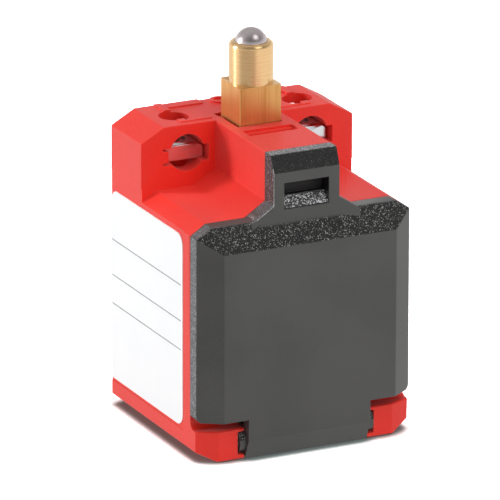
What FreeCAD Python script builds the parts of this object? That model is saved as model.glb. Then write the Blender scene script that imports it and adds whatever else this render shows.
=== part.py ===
import FreeCAD, Part
import os
import re
import sys
import Sketcher

# Top-plunger limit switch, in millimetres.
#
# Frame: X across the switch, Y from the cover at the front (-Y) to the flat back (+Y), Z up.
# The origin is in the middle of the base.  "Depth" is a distance back from the cover's face,
# and back() turns a depth into a Y position.

DIMENSIONS = {
    # Whole switch
    "body_width": 42.0, "body_depth": 38.1, "head_top": 55.3, "body_wall": 2.2,
    # Housing: outline seen from the front
    "base_side": 2.0, "base_run": 3.85, "shoulder_side": 41.75, "shoulder_top": 43.7,
    "shoulder_run": 3.0, "slope_foot": 10.5, "nose_foot": 46.3, "nose_half": 6.38,
    "head_side": 52.8, "head_run": 4.5, "head_depth": 25.55,
    # Housing: wiring chamber, front sill and feet
    "chamber_floor": 2.6, "chamber_top": 41.3, "sill_top": 7.8, "sill_back": 7.8,
    "sill_front": 6.75, "foot_inner": 12.2, "foot_corner": 17.15, "foot_base": 0.25,
    "foot_height": 5.8, "foot_depth": 1.65, "foot_bevel_depth": 3.3, "foot_root": 1.5,
    "foot_round": 0.4,
    # Housing: shallow recesses for the labels and on the head
    "recess_step": 0.15, "recess_bottom": 4.6, "recess_top": 44.4, "recess_depth": 8.2,
    "panel_front": 27.25, "panel_back": 35.9, "panel_step": 0.25, "panel_outer": 11.55,
    "panel_inner": 4.3, "rib_half": 0.68, "rib_front": 26.95, "rib_rise": 0.2,
    "front_rib_end": 6.6, "ring_radius": 1.7, "ring_wall": 0.6, "ring_depth": 36.3,
    "ring_shift": 0.4, "ring_rise": 0.1,
    # Mounting holes and their square nuts
    "hole_shift": 12.25, "hole_offset": 0.35, "top_hole_radius": 2.8, "top_hole_depth": 31.2,
    "top_hole_end": 44.9, "front_hole_radius": 3.45, "front_hole_height": 50.0,
    "nut_side": 8.0, "nut_height": 2.95, "nut_base": 48.1, "nut_bore": 2.1,
    "nut_corner": 4.75, "nut_slot_left": 4.73, "nut_slot_right": 4.25,
    "nut_slot_height": 3.0, "nut_slot_back": 35.6, "lug_run": 1.15, "lug_root": 0.3,
    "lug_height": 2.2, "lug_depth": 1.6,
    # Cable entry in the base
    "entry_radius": 7.25, "entry_boss_radius": 8.6, "entry_boss_top": 7.0, "entry_depth": 15.45,
    "entry_chamfer": 0.7,
    # Cover: bevelled front, tongue with its hinge barrel and pins, tab with a window
    "cover_depth": 5.45, "cover_bottom": 7.7, "cover_corner": 1.0, "bevel_run": 4.05,
    "bevel_depth": 2.9, "top_bevel_start": 39.1, "top_bevel_depth": 2.6, "tongue_half": 12.08,
    "tongue_wall": 2.2, "hinge_depth": 3.1, "hinge_height": 3.1, "barrel_radius": 3.1,
    "lip_top": 3.88, "lip_depth": 1.63, "pin_collar_end": 13.2, "pin_collar_radius": 2.0,
    "pin_radius": 1.3, "pin_end": 15.4, "pin_clearance": 0.06, "notch_end": 13.5,
    "notch_bottom": 0.95, "notch_top": 5.2, "notch_front": 0.9, "socket_end": 15.6,
    "tab_depth": 1.7, "tab_half": 6.5, "tab_foot": 46.3, "plate_half": 10.65,
    "plate_bottom": 41.4, "plate_side": 43.55, "tab_slope_start": 52.1, "tab_slope_depth": 3.0,
    "window_half": 4.35, "window_bottom": 45.4, "window_top": 50.2, "window_back": 4.75,
    "ramp_top": 47.4,
    "ramp_depth": 3.6, "hook_half": 3.6, "hook_bottom": 50.7, "hook_top": 51.5,
    "hook_reach": 0.85, "hook_pocket_half": 4.1, "hook_pocket_bottom": 47.4,
    "hook_pocket_top": 52.0, "hook_pocket_reach": 1.4,
    "cover_wall": 2.0, "pocket_half": 16.1, "pocket_bottom": 10.6, "pocket_top": 38.6,
    "seal_wall": 1.2, "lip_reach": 1.2, "seal_reach": 1.0,
    # Plunger, its ball, clip and seal
    "plunger_half": 4.05, "plunger_depth": 24.17, "plunger_low": 38.4, "square_top": 62.2,
    "plunger_corner": 0.25, "stem_radius": 4.0, "stem_top": 69.75, "stem_round": 0.9,
    "ball_radius": 3.0, "ball_height": 69.1, "ball_clearance": 0.05, "guide_clearance": 0.06,
    "mouth_drop": 3.0, "mouth_left": 0.55, "mouth_right": 0.2, "mouth_rear": 1.7,
    "slot_half": 4.8, "slot_front": 14.8,
    "slot_back": 17.0, "slot_drop": 1.3, "slot_ledge": 0.7, "slot_ledge_drop": 0.5,
    "clip_half": 5.0, "clip_base": 39.9, "clip_height": 1.0, "neck_half": 3.2,
    "neck_clearance": 0.05, "clip_web": 4.1,
    "seal_half": 6.1, "seal_height": 1.95, "seal_gap": 0.05, "seal_room_start": 0.5,
    "seal_room_height": 2.0,
    # Contact block: front shell, back plate, screws and the wall's bosses for them
    "block_half": 17.2, "block_front": 17.65, "block_split": 28.45, "block_back": 32.05,
    "block_base": 11.4, "block_top": 34.6, "channel_half": 4.1, "channel_front": 19.85,
    "channel_base": 12.4, "spring_bore": 3.1, "spring_tube_half": 4.5, "spring_tube_base": 7.8,
    "spring_seat": 9.3, "room_half": 9.2, "room_front": 21.55,
    "upper_room_base": 26.0, "lower_room_top": 21.0,
    "block_screw_shift": 6.9, "block_screw_height": 23.5, "block_screw_radius": 1.5,
    "block_screw_hole": 1.65, "block_screw_head": 2.5, "block_screw_head_length": 2.0,
    "block_screw_end": 35.6, "boss_radius": 3.2, "boss_clearance": 0.04, "boss_bore_end": 36.2,
    "rib_start": 9.7, "rib_base": 22.9, "rib_height": 1.2, "rib_reach": 4.2,
    # Carrier that the plunger pushes, and its two windows
    "carrier_half": 4.0, "carrier_depth_half": 4.2, "carrier_base": 17.8,
    "window_depth_half": 2.15, "upper_window_base": 26.4, "upper_window_top": 32.2,
    "lower_window_base": 19.8, "lower_window_top": 25.0, "carrier_bore": 3.0,
    "carrier_bore_top": 18.6,
    # Contact bridges, contact tips and springs
    "bridge_half": 8.2, "bridge_depth_half": 2.0, "bridge_thickness": 0.6,
    "upper_bridge_base": 30.0, "tip_shift": 7.3, "tip_radius": 1.1, "tip_height": 0.45,
    "contact_gap": 0.05, "contact_stroke": 3.0, "contact_coil": 1.5, "contact_wire": 0.3,
    "contact_turns": 4,
    "return_coil": 2.35, "return_wire": 0.35, "return_turns": 6, "coil_inset": 0.02,
    # Terminals, their clamp plates and screws
    "arm_start": 5.4, "arm_depth_half": 1.7, "plate_start": 9.5, "plate_end": 16.5,
    "plate_thickness": 1.0, "pad_thickness": 1.2, "pad_height": 6.0, "terminal_shift": 13.0,
    "upper_plate_base": 31.6, "lower_plate_base": 14.75, "terminal_hole": 1.85,
    "terminal_bore_end": 24.4, "clamp_half": 3.3, "clamp_thickness": 1.1,
    "terminal_screw_radius": 1.75, "terminal_screw_end": 23.0, "terminal_head_radius": 2.9,
    "terminal_head_length": 2.2, "recess_width": 0.8, "recess_length": 3.6,
    "recess_sink": 1.2,
    # Rating label on the left side
    "label_front": 8.55, "label_back": 37.9, "label_bottom": 5.2, "label_top": 40.9,
    "label_corner": 2.2,
}

doc = FreeCAD.newDocument("limit_switch")
sheet = doc.addObject("Spreadsheet::Sheet", "Dims")
for row, (alias, value) in enumerate(DIMENSIONS.items(), start=1):
    sheet.set(f"A{row}", alias)
    sheet.set(f"B{row}", str(value))
    sheet.setAlias(f"B{row}", alias)
doc.recompute()

pieces = {}


# ---------------------------------------------------------------- expressions

def cells(formula):
    """Point each name in a formula at its cell of the sheet."""
    return re.sub(r"[a-z_]+", lambda word: "Dims." + word.group(0), formula)


def value_of(formula):
    """The number that a formula of cell names gives now."""
    return float(sheet.evalExpression(cells(formula)))


def back(depth):
    """The Y position of a depth behind the cover's face."""
    return f"({depth}) - body_depth / 2"


def beside(centre, half):
    """The two limits of a width laid out evenly about a centre."""
    return f"({centre}) - ({half})", f"({centre}) + ({half})"


PLUNGER_Y = back("plunger_depth")
SIDES = {"left": "-", "right": ""}


def on_side(side, formula):
    """An X position on the left (negative) or right of the switch."""
    return f"{SIDES[side]}({formula})"


# ---------------------------------------------------------------- sketched bodies

def new_body(name):
    """A PartDesign body whose Label is the piece's name."""
    body = doc.addObject("PartDesign::Body", name)
    body.Label = name
    return body


def origin_plane(body, role):
    """One of a body's own three origin planes."""
    return next(item for item in body.Origin.OriginFeatures if item.Role == role)


def new_sketch(body, name, plane, level):
    """A sketch on an origin plane, moved to a level along the row axis that crosses it."""
    sketch = body.newObject("Sketcher::SketchObject", name)
    sketch.AttachmentSupport = [(origin_plane(body, plane), "")]
    sketch.MapMode = "FlatFace"
    away = "-1 * " if plane == "XZ_Plane" else ""
    sketch.setExpression("AttachmentOffset.Base.z", cells(f"{away}({level})"))
    return sketch


def hold(sketch, kind, *where, formula):
    """Add a constraint whose size is a formula of cells."""
    index = sketch.addConstraint(Sketcher.Constraint(kind, *where, value_of(formula)))
    sketch.setExpression(f"Constraints[{index}]", cells(formula))


def draw_polygon(sketch, points):
    """A closed outline; every corner is placed by formulas of cells."""
    first = sketch.GeometryCount
    count = len(points)
    spots = [FreeCAD.Vector(value_of(across), value_of(up), 0) for across, up in points]
    for i in range(count):
        sketch.addGeometry(Part.LineSegment(spots[i], spots[(i + 1) % count]), False)
    for i in range(count):
        here, following = first + i, first + (i + 1) % count
        sketch.addConstraint(Sketcher.Constraint("Coincident", here, 2, following, 1))
    for i, (across, up) in enumerate(points):
        hold(sketch, "DistanceX", -1, 1, first + i, 1, formula=across)
        hold(sketch, "DistanceY", -1, 1, first + i, 1, formula=up)


def draw_circle(sketch, across, up, radius):
    """A circle placed and sized by formulas of cells."""
    centre = FreeCAD.Vector(value_of(across), value_of(up), 0)
    circle = Part.Circle(centre, FreeCAD.Vector(0, 0, 1), value_of(radius))
    index = sketch.addGeometry(circle, False)
    hold(sketch, "DistanceX", -1, 1, index, 3, formula=across)
    hold(sketch, "DistanceY", -1, 1, index, 3, formula=up)
    hold(sketch, "Radius", index, formula=radius)


def rectangle(low_across, high_across, low_up, high_up):
    """The four corners of a rectangle."""
    return [(low_across, low_up), (high_across, low_up),
            (high_across, high_up), (low_across, high_up)]


def mirrored(points):
    """The same outline on the other side of X = 0."""
    return [(f"-1 * ({across})", up) for across, up in reversed(points)]


def extrude(body, name, kind, plane, start, end, outlines=(), circles=()):
    """Pad or Pocket outlines and circles from one level to a higher one."""
    sketch = new_sketch(body, name + "_sketch", plane, start)
    for outline in outlines:
        draw_polygon(sketch, outline)
    for circle in circles:
        draw_circle(sketch, *circle)
    feature = body.newObject(f"PartDesign::{kind}", name)
    feature.Profile = sketch
    feature.Reversed = (plane == "XZ_Plane") == (kind == "Pad")
    feature.setExpression("Length", cells(f"({end}) - ({start})"))
    sketch.Visibility = False
    doc.recompute()
    return feature


def edges_where(shape, test):
    """Names of a shape's edges whose middle point passes a test."""
    return [f"Edge{i}" for i, edge in enumerate(shape.Edges, start=1)
            if test(edge, edge.CenterOfMass)]


def dress_edges(body, name, kind, prop, size, test):
    """Fillet or Chamfer the edges of a body's last feature that pass a test."""
    base = body.Tip
    feature = body.newObject(f"PartDesign::{kind}", name)
    feature.Base = (base, edges_where(base.Shape, test))
    feature.setExpression(prop, cells(size))
    doc.recompute()
    return feature


def along(edge, axis):
    """Whether a straight edge runs along a row axis."""
    if edge.Curve.TypeId != "Part::GeomLine":
        return False
    return abs(edge.tangentAt(edge.FirstParameter).dot(axis)) > 0.999


TINY = 1e-3


def near(number, formula):
    """Whether a number is what a formula gives."""
    return abs(number - value_of(formula)) < TINY


# ---------------------------------------------------------------- simple solids

def box(name, low, high):
    """A Part::Box between two corners given as formulas."""
    solid = doc.addObject("Part::Box", name)
    for prop, axis, start, end in zip(("Length", "Width", "Height"), "xyz", low, high):
        solid.setExpression(prop, cells(f"({end}) - ({start})"))
        solid.setExpression(f"Placement.Base.{axis}", cells(start))
    return solid


TURN_TO = {
    "X": FreeCAD.Rotation(FreeCAD.Vector(0, 1, 0), 90),
    "Y": FreeCAD.Rotation(FreeCAD.Vector(1, 0, 0), -90),
    "Z": FreeCAD.Rotation(),
}


def place(solid, axis, start):
    """Turn a solid's own Z to a row axis and set its start by formulas."""
    solid.Placement = FreeCAD.Placement(FreeCAD.Vector(), TURN_TO[axis])
    for letter, formula in zip("xyz", start):
        solid.setExpression(f"Placement.Base.{letter}", cells(formula))
    return solid


def cylinder(name, radius, start, length, axis="Z"):
    """A Part::Cylinder that starts at a point and runs along a row axis."""
    solid = doc.addObject("Part::Cylinder", name)
    solid.setExpression("Radius", cells(radius))
    solid.setExpression("Height", cells(length))
    return place(solid, axis, start)


def cone(name, low_radius, high_radius, start, length, axis="Z"):
    """A Part::Cone between two radii."""
    solid = doc.addObject("Part::Cone", name)
    solid.setExpression("Radius1", cells(low_radius))
    solid.setExpression("Radius2", cells(high_radius))
    solid.setExpression("Height", cells(length))
    return place(solid, axis, start)


def joined(name, solids):
    """Several solids made one."""
    union = doc.addObject("Part::MultiFuse", name)
    union.Shapes = solids
    return union


def cut_away(name, base, tools):
    """A solid less one or more others."""
    tool = tools[0] if len(tools) == 1 else joined(name + "_tools", tools)
    result = doc.addObject("Part::Cut", name)
    result.Base, result.Tool = base, tool
    return result


def group(name, solids):
    """Identical pieces kept together as one node of separate solids."""
    result = doc.addObject("Part::Compound", name)
    result.Links = solids
    return result


def keep(node, piece):
    """Register a finished piece under its node name."""
    piece.Label = node
    pieces[node] = piece
    return piece


# ---------------------------------------------------------------- housing

HALF = "body_width / 2"


def body_outline():
    """The housing's front outline up to the nose's foot, right half then left half."""
    right = [(f"{HALF}", "0"), (f"{HALF}", "shoulder_side"),
             (f"{HALF} - shoulder_run", "shoulder_top"), ("slope_foot", "shoulder_top"),
             ("nose_half", "nose_foot")]
    return right + mirrored(right)


def head_outline():
    """The mounting head's front outline."""
    right = [(f"{HALF}", "shoulder_side - body_wall"), (f"{HALF}", "head_side"),
             (f"{HALF} - head_run", "head_top")]
    return right + mirrored(right)


def foot_outline():
    """A foot's plan, with the same bevel as the cover above it."""
    return [("foot_inner", back("foot_depth")), ("foot_corner", back("foot_depth")),
            (f"{HALF}", back("foot_bevel_depth")), (f"{HALF}", back("cover_depth")),
            ("foot_inner", back("cover_depth"))]


def build_housing_shell(body):
    """The moulded body, nose, head and feet, before anything is cut into them."""
    extrude(body, "housing_body", "Pad", "XZ_Plane", back("cover_depth"), back("body_depth"),
            [body_outline()])
    extrude(body, "housing_nose", "Pad", "XZ_Plane", back("cover_depth"),
            back("head_depth + body_wall"),
            [rectangle("-1 * nose_half", "nose_half", "shoulder_top", "head_top")])
    extrude(body, "housing_head", "Pad", "XZ_Plane", back("head_depth"), back("body_depth"),
            [head_outline()])
    foot = foot_outline()
    extrude(body, "housing_feet", "Pad", "XY_Plane", "foot_base", "foot_height",
            [foot, mirrored(foot)])
    dress_edges(body, "foot_roots", "Fillet", "Radius", "foot_root",
                lambda edge, middle: near(middle.z, "foot_height")
                and near(middle.y, back("cover_depth")))
    y_axis = FreeCAD.Vector(0, 1, 0)
    dress_edges(body, "foot_rounds", "Fillet", "Radius", "foot_round",
                lambda edge, middle: near(middle.z, "foot_height") and not along(edge, y_axis)
                and middle.y < value_of(back("foot_bevel_depth")))
    corner = [(f"{HALF} - base_run", "0"), (f"{HALF} - base_run", "-1"),
              (f"{HALF} + 1", "-1"), (f"{HALF} + 1", "base_side"), (f"{HALF}", "base_side")]
    extrude(body, "base_chamfers", "Pocket", "XZ_Plane", back("0"), back("body_depth + 1"),
            [corner, mirrored(corner)])


def build_housing_chamber(body):
    """The wiring chamber, with a sill below the cover and room for the hinge barrel."""
    inner = f"{HALF} - body_wall"
    extrude(body, "chamber_mouth", "Pocket", "XZ_Plane", back("cover_depth"),
            back("sill_back"), [rectangle(f"-1 * ({inner})", inner, "sill_top", "chamber_top")])
    extrude(body, "chamber", "Pocket", "XZ_Plane", back("sill_back"),
            back("body_depth - body_wall"),
            [rectangle(f"-1 * ({inner})", inner, "chamber_floor", "chamber_top")])
    extrude(body, "barrel_room", "Pocket", "XZ_Plane", back("cover_depth"), back("sill_front"),
            [rectangle("-1 * foot_inner", "foot_inner", "-1", "sill_top + 1")])


def build_hinge_sockets(body):
    """Notches and blind sockets in the feet for the cover's hinge pins."""
    notch = rectangle("foot_inner - 1", "notch_end", back("notch_front"), back("sill_front"))
    extrude(body, "pin_notches", "Pocket", "XY_Plane", "notch_bottom", "notch_top",
            [notch, mirrored(notch)])
    for side in SIDES:
        ends = sorted((on_side(side, "notch_end - 0.1"), on_side(side, "socket_end")),
                      key=value_of)
        extrude(body, f"pin_socket_{side}", "Pocket", "YZ_Plane", *ends,
                circles=[(back("hinge_depth"), "hinge_height", "pin_radius + pin_clearance")])


def build_cable_entry(body):
    """The threaded cable entry's boss and bore, at core size, in the base."""
    centre = ("0", back("entry_depth"))
    extrude(body, "entry_boss", "Pad", "XY_Plane", "0", "entry_boss_top",
            circles=[(*centre, "entry_boss_radius")])
    extrude(body, "entry_bore", "Pocket", "XY_Plane", "-1", "entry_boss_top + 1",
            circles=[(*centre, "entry_radius")])
    dress_edges(body, "entry_chamfer_cut", "Chamfer", "Size", "entry_chamfer",
                lambda edge, middle: edge.Curve.TypeId == "Part::GeomCircle"
                and near(edge.Curve.Radius, "entry_radius") and near(middle.z, "0"))


def build_block_bosses(body):
    """Two bosses on the back wall that hold the contact block's screws."""
    spots = [(on_side(side, "block_screw_shift"), "block_screw_height") for side in SIDES]
    extrude(body, "block_bosses", "Pad", "XZ_Plane", back("block_back"),
            back("body_depth - body_wall / 2"),
            circles=[(*spot, "boss_radius") for spot in spots])
    extrude(body, "boss_bores", "Pocket", "XZ_Plane", back("block_back"), back("boss_bore_end"),
            circles=[(*spot, "block_screw_radius + boss_clearance") for spot in spots])


def build_plunger_guide(body):
    """The square guide through the head, its wider mouth, seal recess and nose slot."""
    cuts = {
        "guide": ("plunger_half + guide_clearance", "chamber_top - 1", "head_top + 1"),
        "seal_room": ("seal_half + seal_gap", "chamber_top - seal_room_start",
                      "chamber_top + seal_room_height"),
    }
    for name, (half, low, high) in cuts.items():
        square = rectangle(f"-1 * ({half})", half, *beside(PLUNGER_Y, half))
        extrude(body, name, "Pocket", "XY_Plane", low, high, [square])
    mouth = rectangle("-1 * (plunger_half + mouth_left)", "plunger_half + mouth_right",
                      f"{PLUNGER_Y} - (plunger_half + mouth_right)",
                      f"{PLUNGER_Y} + plunger_half + mouth_rear")
    extrude(body, "guide_mouth", "Pocket", "XY_Plane", "head_top - mouth_drop",
            "head_top + 1", [mouth])
    for name, front, drop in (("nose_slot", "slot_front", "slot_drop"),
                              ("nose_slot_ledge", "slot_back - slot_ledge", "slot_ledge_drop")):
        rear = "slot_back" if name == "nose_slot" else "slot_back + slot_ledge"
        slot = rectangle("-1 * slot_half", "slot_half", back(front), back(rear))
        extrude(body, name, "Pocket", "XY_Plane", f"head_top - {drop}", "head_top + 1", [slot])


def bolt_line(side):
    """The X position of a side's mounting holes and nut."""
    return f"{on_side(side, 'hole_shift')} + hole_offset"


def build_mounting_holes(body):
    """Top holes, front-to-back holes and the square nuts' slots that cross them."""
    tops = [(bolt_line(side), back("top_hole_depth"), "top_hole_radius") for side in SIDES]
    extrude(body, "top_holes", "Pocket", "XY_Plane", "top_hole_end", "head_top + 1",
            circles=tops)
    fronts = [(bolt_line(side), "front_hole_height", "front_hole_radius") for side in SIDES]
    extrude(body, "front_holes", "Pocket", "XZ_Plane", back("head_depth - 1"),
            back("body_depth + 1"), circles=fronts)
    slots = [rectangle(f"{bolt_line(side)} - nut_slot_left",
                       f"{bolt_line(side)} + nut_slot_right",
                       "nut_base", "nut_base + nut_slot_height") for side in SIDES]
    extrude(body, "nut_slots", "Pocket", "XZ_Plane", back("head_depth - 1"),
            back("nut_slot_back"), slots)
    lugs = []
    for side in SIDES:
        outer = f"{bolt_line(side)} - nut_slot_left"
        middle = "nut_base + nut_slot_height / 2"
        lugs.append(rectangle(f"{outer} - lug_root", f"{outer} + lug_run",
                              *beside(middle, "lug_height / 2")))
    extrude(body, "nut_lugs", "Pad", "XZ_Plane", back("head_depth"),
            back("head_depth + lug_depth"), lugs)


def build_head_ribs(body):
    """Low ribs on the head: one over each top hole, two along the front of the panel."""
    ribs = []
    for side in SIDES:
        low_x, high_x = beside(bolt_line(side), "rib_half")
        ribs.append(rectangle(low_x, high_x, back("rib_front"), back("body_depth")))
    extrude(body, "head_ribs", "Pad", "XY_Plane", "head_top - 2 * panel_step",
            "head_top + rib_rise", ribs)
    fronts = []
    for side in SIDES:
        ends = sorted((bolt_line(side), f"{on_side(side, 'front_rib_end')} + hole_offset"),
                      key=value_of)
        fronts.append(rectangle(*ends, back("rib_front"), back("panel_front")))
    extrude(body, "head_front_ribs", "Pad", "XY_Plane", "head_top - 2 * panel_step",
            "head_top + rib_rise", fronts)


def build_shallow_recesses(body):
    """Recesses for labels on the sides, the head's panel and the tab's hook pocket."""
    left, right = beside("hole_offset", "panel_outer")
    inner_left, inner_right = beside("hole_offset", "panel_inner")
    front, rear, edge = back("panel_front"), back("panel_back"), back("body_depth + 1")
    panel = [(left, front), (right, front), (right, rear), (inner_right, rear),
             (inner_right, edge), (inner_left, edge), (inner_left, rear), (left, rear)]
    extrude(body, "head_panel", "Pocket", "XY_Plane", "head_top - panel_step",
            "head_top + 1", [panel])
    for side in SIDES:
        limits = sorted((on_side(side, f"{HALF} - recess_step"), on_side(side, f"{HALF} + 1")),
                        key=value_of)
        field = rectangle(back("recess_depth"), back("body_depth + 1"),
                          "recess_bottom", "recess_top")
        extrude(body, f"label_recess_{side}", "Pocket", "YZ_Plane", *limits, [field])
    hook = rectangle("-1 * hook_pocket_half", "hook_pocket_half",
                     "hook_pocket_bottom", "hook_pocket_top")
    extrude(body, "hook_pocket", "Pocket", "XZ_Plane", back("cover_depth"),
            back("cover_depth + hook_pocket_reach"), [hook])
    spot = ("-1 * ring_shift", back("ring_depth"))
    extrude(body, "moulded_ring", "Pad", "XY_Plane", "head_top - 2 * panel_step",
            "head_top + ring_rise",
            circles=[(*spot, "ring_radius"), (*spot, "ring_radius - ring_wall")])


def build_housing():
    """The red moulded housing."""
    body = new_body("housing")
    build_housing_shell(body)
    build_housing_chamber(body)
    build_hinge_sockets(body)
    build_cable_entry(body)
    build_block_bosses(body)
    build_plunger_guide(body)
    build_head_ribs(body)
    build_mounting_holes(body)
    build_shallow_recesses(body)
    keep("housing", body)


# ---------------------------------------------------------------- cover

def build_cover_front(body):
    """The cover's slab with its side bevels, top bevel and rounded lower corners."""
    right = [(f"{HALF}", "cover_bottom"), (f"{HALF}", "shoulder_side"),
             (f"{HALF} - shoulder_run", "shoulder_top")]
    extrude(body, "cover_slab", "Pad", "XZ_Plane", back("0"), back("cover_depth"),
            [right + mirrored(right)])
    y_axis = FreeCAD.Vector(0, 1, 0)
    dress_edges(body, "cover_corners", "Fillet", "Radius", "cover_corner",
                lambda edge, middle: along(edge, y_axis) and near(middle.z, "cover_bottom"))
    bevel = [(f"{HALF} - bevel_run", back("0")), (f"{HALF} - bevel_run", back("-1")),
             (f"{HALF} + 1", back("-1")), (f"{HALF} + 1", back("bevel_depth")),
             (f"{HALF}", back("bevel_depth"))]
    extrude(body, "side_bevels", "Pocket", "XY_Plane", "0", "head_top", [bevel, mirrored(bevel)])
    top = [(back("0"), "top_bevel_start"), (back("top_bevel_depth"), "shoulder_top"),
           (back("top_bevel_depth"), "head_top"), (back("-1"), "head_top"),
           (back("-1"), "top_bevel_start")]
    extrude(body, "top_bevel", "Pocket", "YZ_Plane", f"-1 * ({HALF} + 1)", f"{HALF} + 1", [top])


def facet_placement():
    """Where the corner facet lies: through the ends of the two bevels and the shoulder."""
    half = value_of(HALF)
    inner = FreeCAD.Vector(half - value_of("bevel_run"), value_of(back("0")),
                           value_of("top_bevel_start"))
    side = FreeCAD.Vector(half, value_of(back("bevel_depth")), value_of("shoulder_side"))
    top = FreeCAD.Vector(half - value_of("shoulder_run"), value_of(back("top_bevel_depth")),
                         value_of("shoulder_top"))
    outward = (side - inner).cross(top - inner).normalize()
    if outward.y > 0:
        outward = outward * -1
    turn = FreeCAD.Rotation(FreeCAD.Vector(0, 0, 1), outward)
    return FreeCAD.Placement((inner + side + top) / 3, turn)


def build_corner_facets(body):
    """The small triangular facets where the side bevels meet the top bevel."""
    sketch = body.newObject("Sketcher::SketchObject", "facet_sketch")
    sketch.AttachmentSupport = [(origin_plane(body, "XY_Plane"), "")]
    sketch.MapMode = "FlatFace"
    sketch.AttachmentOffset = facet_placement()
    reach = "bevel_run + bevel_depth"
    draw_polygon(sketch, rectangle(f"-1 * ({reach})", reach, f"-1 * ({reach})", reach))
    facet = body.newObject("PartDesign::Pocket", "corner_facet")
    facet.Profile = sketch
    facet.Reversed = True
    facet.setExpression("Length", cells("bevel_depth"))
    doc.recompute()
    other = body.newObject("PartDesign::Mirrored", "corner_facet_other_side")
    other.Originals = [facet]
    other.MirrorPlane = (origin_plane(body, "YZ_Plane"), [""])
    body.Tip = other
    doc.recompute()


def build_cover_tongue(body):
    """The tongue between the feet, with its hinge barrel, bottom lip, collars and pins."""
    extrude(body, "tongue", "Pad", "XZ_Plane", back("0"), back("tongue_wall"),
            [rectangle("-1 * tongue_half", "tongue_half", "0", "cover_bottom + 1")])
    hinge = (back("hinge_depth"), "hinge_height")
    rounds = {
        "hinge_barrel": ("tongue_half", "barrel_radius"),
        "pin_collars": ("pin_collar_end", "pin_collar_radius"),
        "hinge_pins": ("pin_end", "pin_radius"),
    }
    for name, (end, radius) in rounds.items():
        extrude(body, name, "Pad", "YZ_Plane", f"-1 * {end}", end, circles=[(*hinge, radius)])
    lip = [(back("0"), "lip_top"), (back("lip_depth"), "0"), (back("lip_depth"), "-1"),
           (back("-1"), "-1"), (back("-1"), "lip_top")]
    extrude(body, "tongue_lip", "Pocket", "YZ_Plane", "-1 * tongue_half", "tongue_half", [lip])


def build_cover_tab(body):
    """The trapezoid plate and snap tab above the cover, with its pry slot and inner hook."""
    right = [("plate_half", "plate_bottom"), ("plate_half", "plate_side"),
             ("tab_half", "tab_foot"), ("tab_half", "head_top")]
    extrude(body, "tab", "Pad", "XZ_Plane", back("tab_depth"), back("cover_depth"),
            [right + mirrored(right)])
    slope = [(back("tab_depth"), "tab_slope_start"), (back("tab_slope_depth"), "head_top"),
             (back("tab_slope_depth"), "head_top + 1"), (back("0"), "head_top + 1"),
             (back("0"), "tab_slope_start")]
    extrude(body, "tab_slope", "Pocket", "YZ_Plane", "-1 * tab_half - 1", "tab_half + 1",
            [slope])
    behind = back("window_back")
    window = [(back("tab_depth - 1"), "window_bottom"), (back("tab_depth"), "window_bottom"),
              (back("ramp_depth"), "ramp_top"), (behind, "ramp_top"), (behind, "window_top"),
              (back("tab_depth - 1"), "window_top")]
    extrude(body, "tab_window", "Pocket", "YZ_Plane", "-1 * window_half", "window_half",
            [window])
    extrude(body, "tab_hook", "Pad", "XZ_Plane", back("cover_depth - 0.5"),
            back("cover_depth + hook_reach"),
            [rectangle("-1 * hook_half", "hook_half", "hook_bottom", "hook_top")])


def ring_outlines(growth, wall):
    """Outer and inner outlines of a frame round the cover's pocket."""
    def frame(extra):
        half = f"pocket_half + {extra}"
        return rectangle(f"-1 * ({half})", half, f"pocket_bottom - ({extra})",
                         f"pocket_top + {extra}")
    return [frame(f"{growth} + {wall}"), frame(growth)]


def build_cover():
    """The dark cover, hollow behind, with a lip that enters the housing."""
    body = new_body("cover")
    build_cover_front(body)
    build_corner_facets(body)
    build_cover_tongue(body)
    build_cover_tab(body)
    extrude(body, "cover_pocket", "Pocket", "XZ_Plane", back("cover_wall"),
            back("cover_depth + 0.5"),
            [rectangle("-1 * pocket_half", "pocket_half", "pocket_bottom", "pocket_top")])
    extrude(body, "cover_lip", "Pad", "XZ_Plane", back("cover_depth - 0.5"),
            back("cover_depth + lip_reach"), ring_outlines("0", "seal_wall"))
    keep("cover", body)


def build_gasket():
    """The rubber frame round the cover's lip."""
    body = new_body("cover_gasket")
    extrude(body, "gasket_frame", "Pad", "XZ_Plane", back("cover_depth"),
            back("cover_depth + seal_reach"), ring_outlines("seal_wall", "seal_wall"))
    keep("cover_gasket", body)


# ---------------------------------------------------------------- plunger

def build_plunger():
    """The brass plunger: a square bar, turned at the top and rolled over its ball."""
    body = new_body("plunger_bar")
    half = "plunger_half"
    square = rectangle(f"-1 * {half}", half, *beside(PLUNGER_Y, half))
    extrude(body, "square_bar", "Pad", "XY_Plane", "plunger_low", "square_top", [square])
    z_axis = FreeCAD.Vector(0, 0, 1)
    dress_edges(body, "bar_corners", "Fillet", "Radius", "plunger_corner",
                lambda edge, middle: along(edge, z_axis))
    extrude(body, "turned_stem", "Pad", "XY_Plane", "square_top", "stem_top",
            circles=[("0", PLUNGER_Y, "stem_radius")])
    dress_edges(body, "rolled_lip", "Fillet", "Radius", "stem_round",
                lambda edge, middle: near(middle.z, "stem_top"))
    low = "clip_base - neck_clearance"
    high = "clip_base + clip_height + neck_clearance"
    for side in SIDES:
        limits = sorted((on_side(side, "neck_half"), on_side(side, "plunger_half + 1")),
                        key=value_of)
        extrude(body, f"clip_groove_{side}", "Pocket", "XY_Plane", low, high,
                [rectangle(*limits, *beside(PLUNGER_Y, "plunger_half + 1"))])
    socket = doc.addObject("Part::Sphere", "ball_socket")
    socket.setExpression("Radius", cells("ball_radius + ball_clearance"))
    place(socket, "Z", ("0", PLUNGER_Y, "ball_height"))
    keep("plunger", cut_away("plunger", body, [socket]))


def build_ball():
    """The steel ball that the plunger's rolled lip holds."""
    ball = doc.addObject("Part::Sphere", "plunger_ball")
    ball.setExpression("Radius", cells("ball_radius"))
    keep("plunger_ball", place(ball, "Z", ("0", PLUNGER_Y, "ball_height")))


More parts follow.
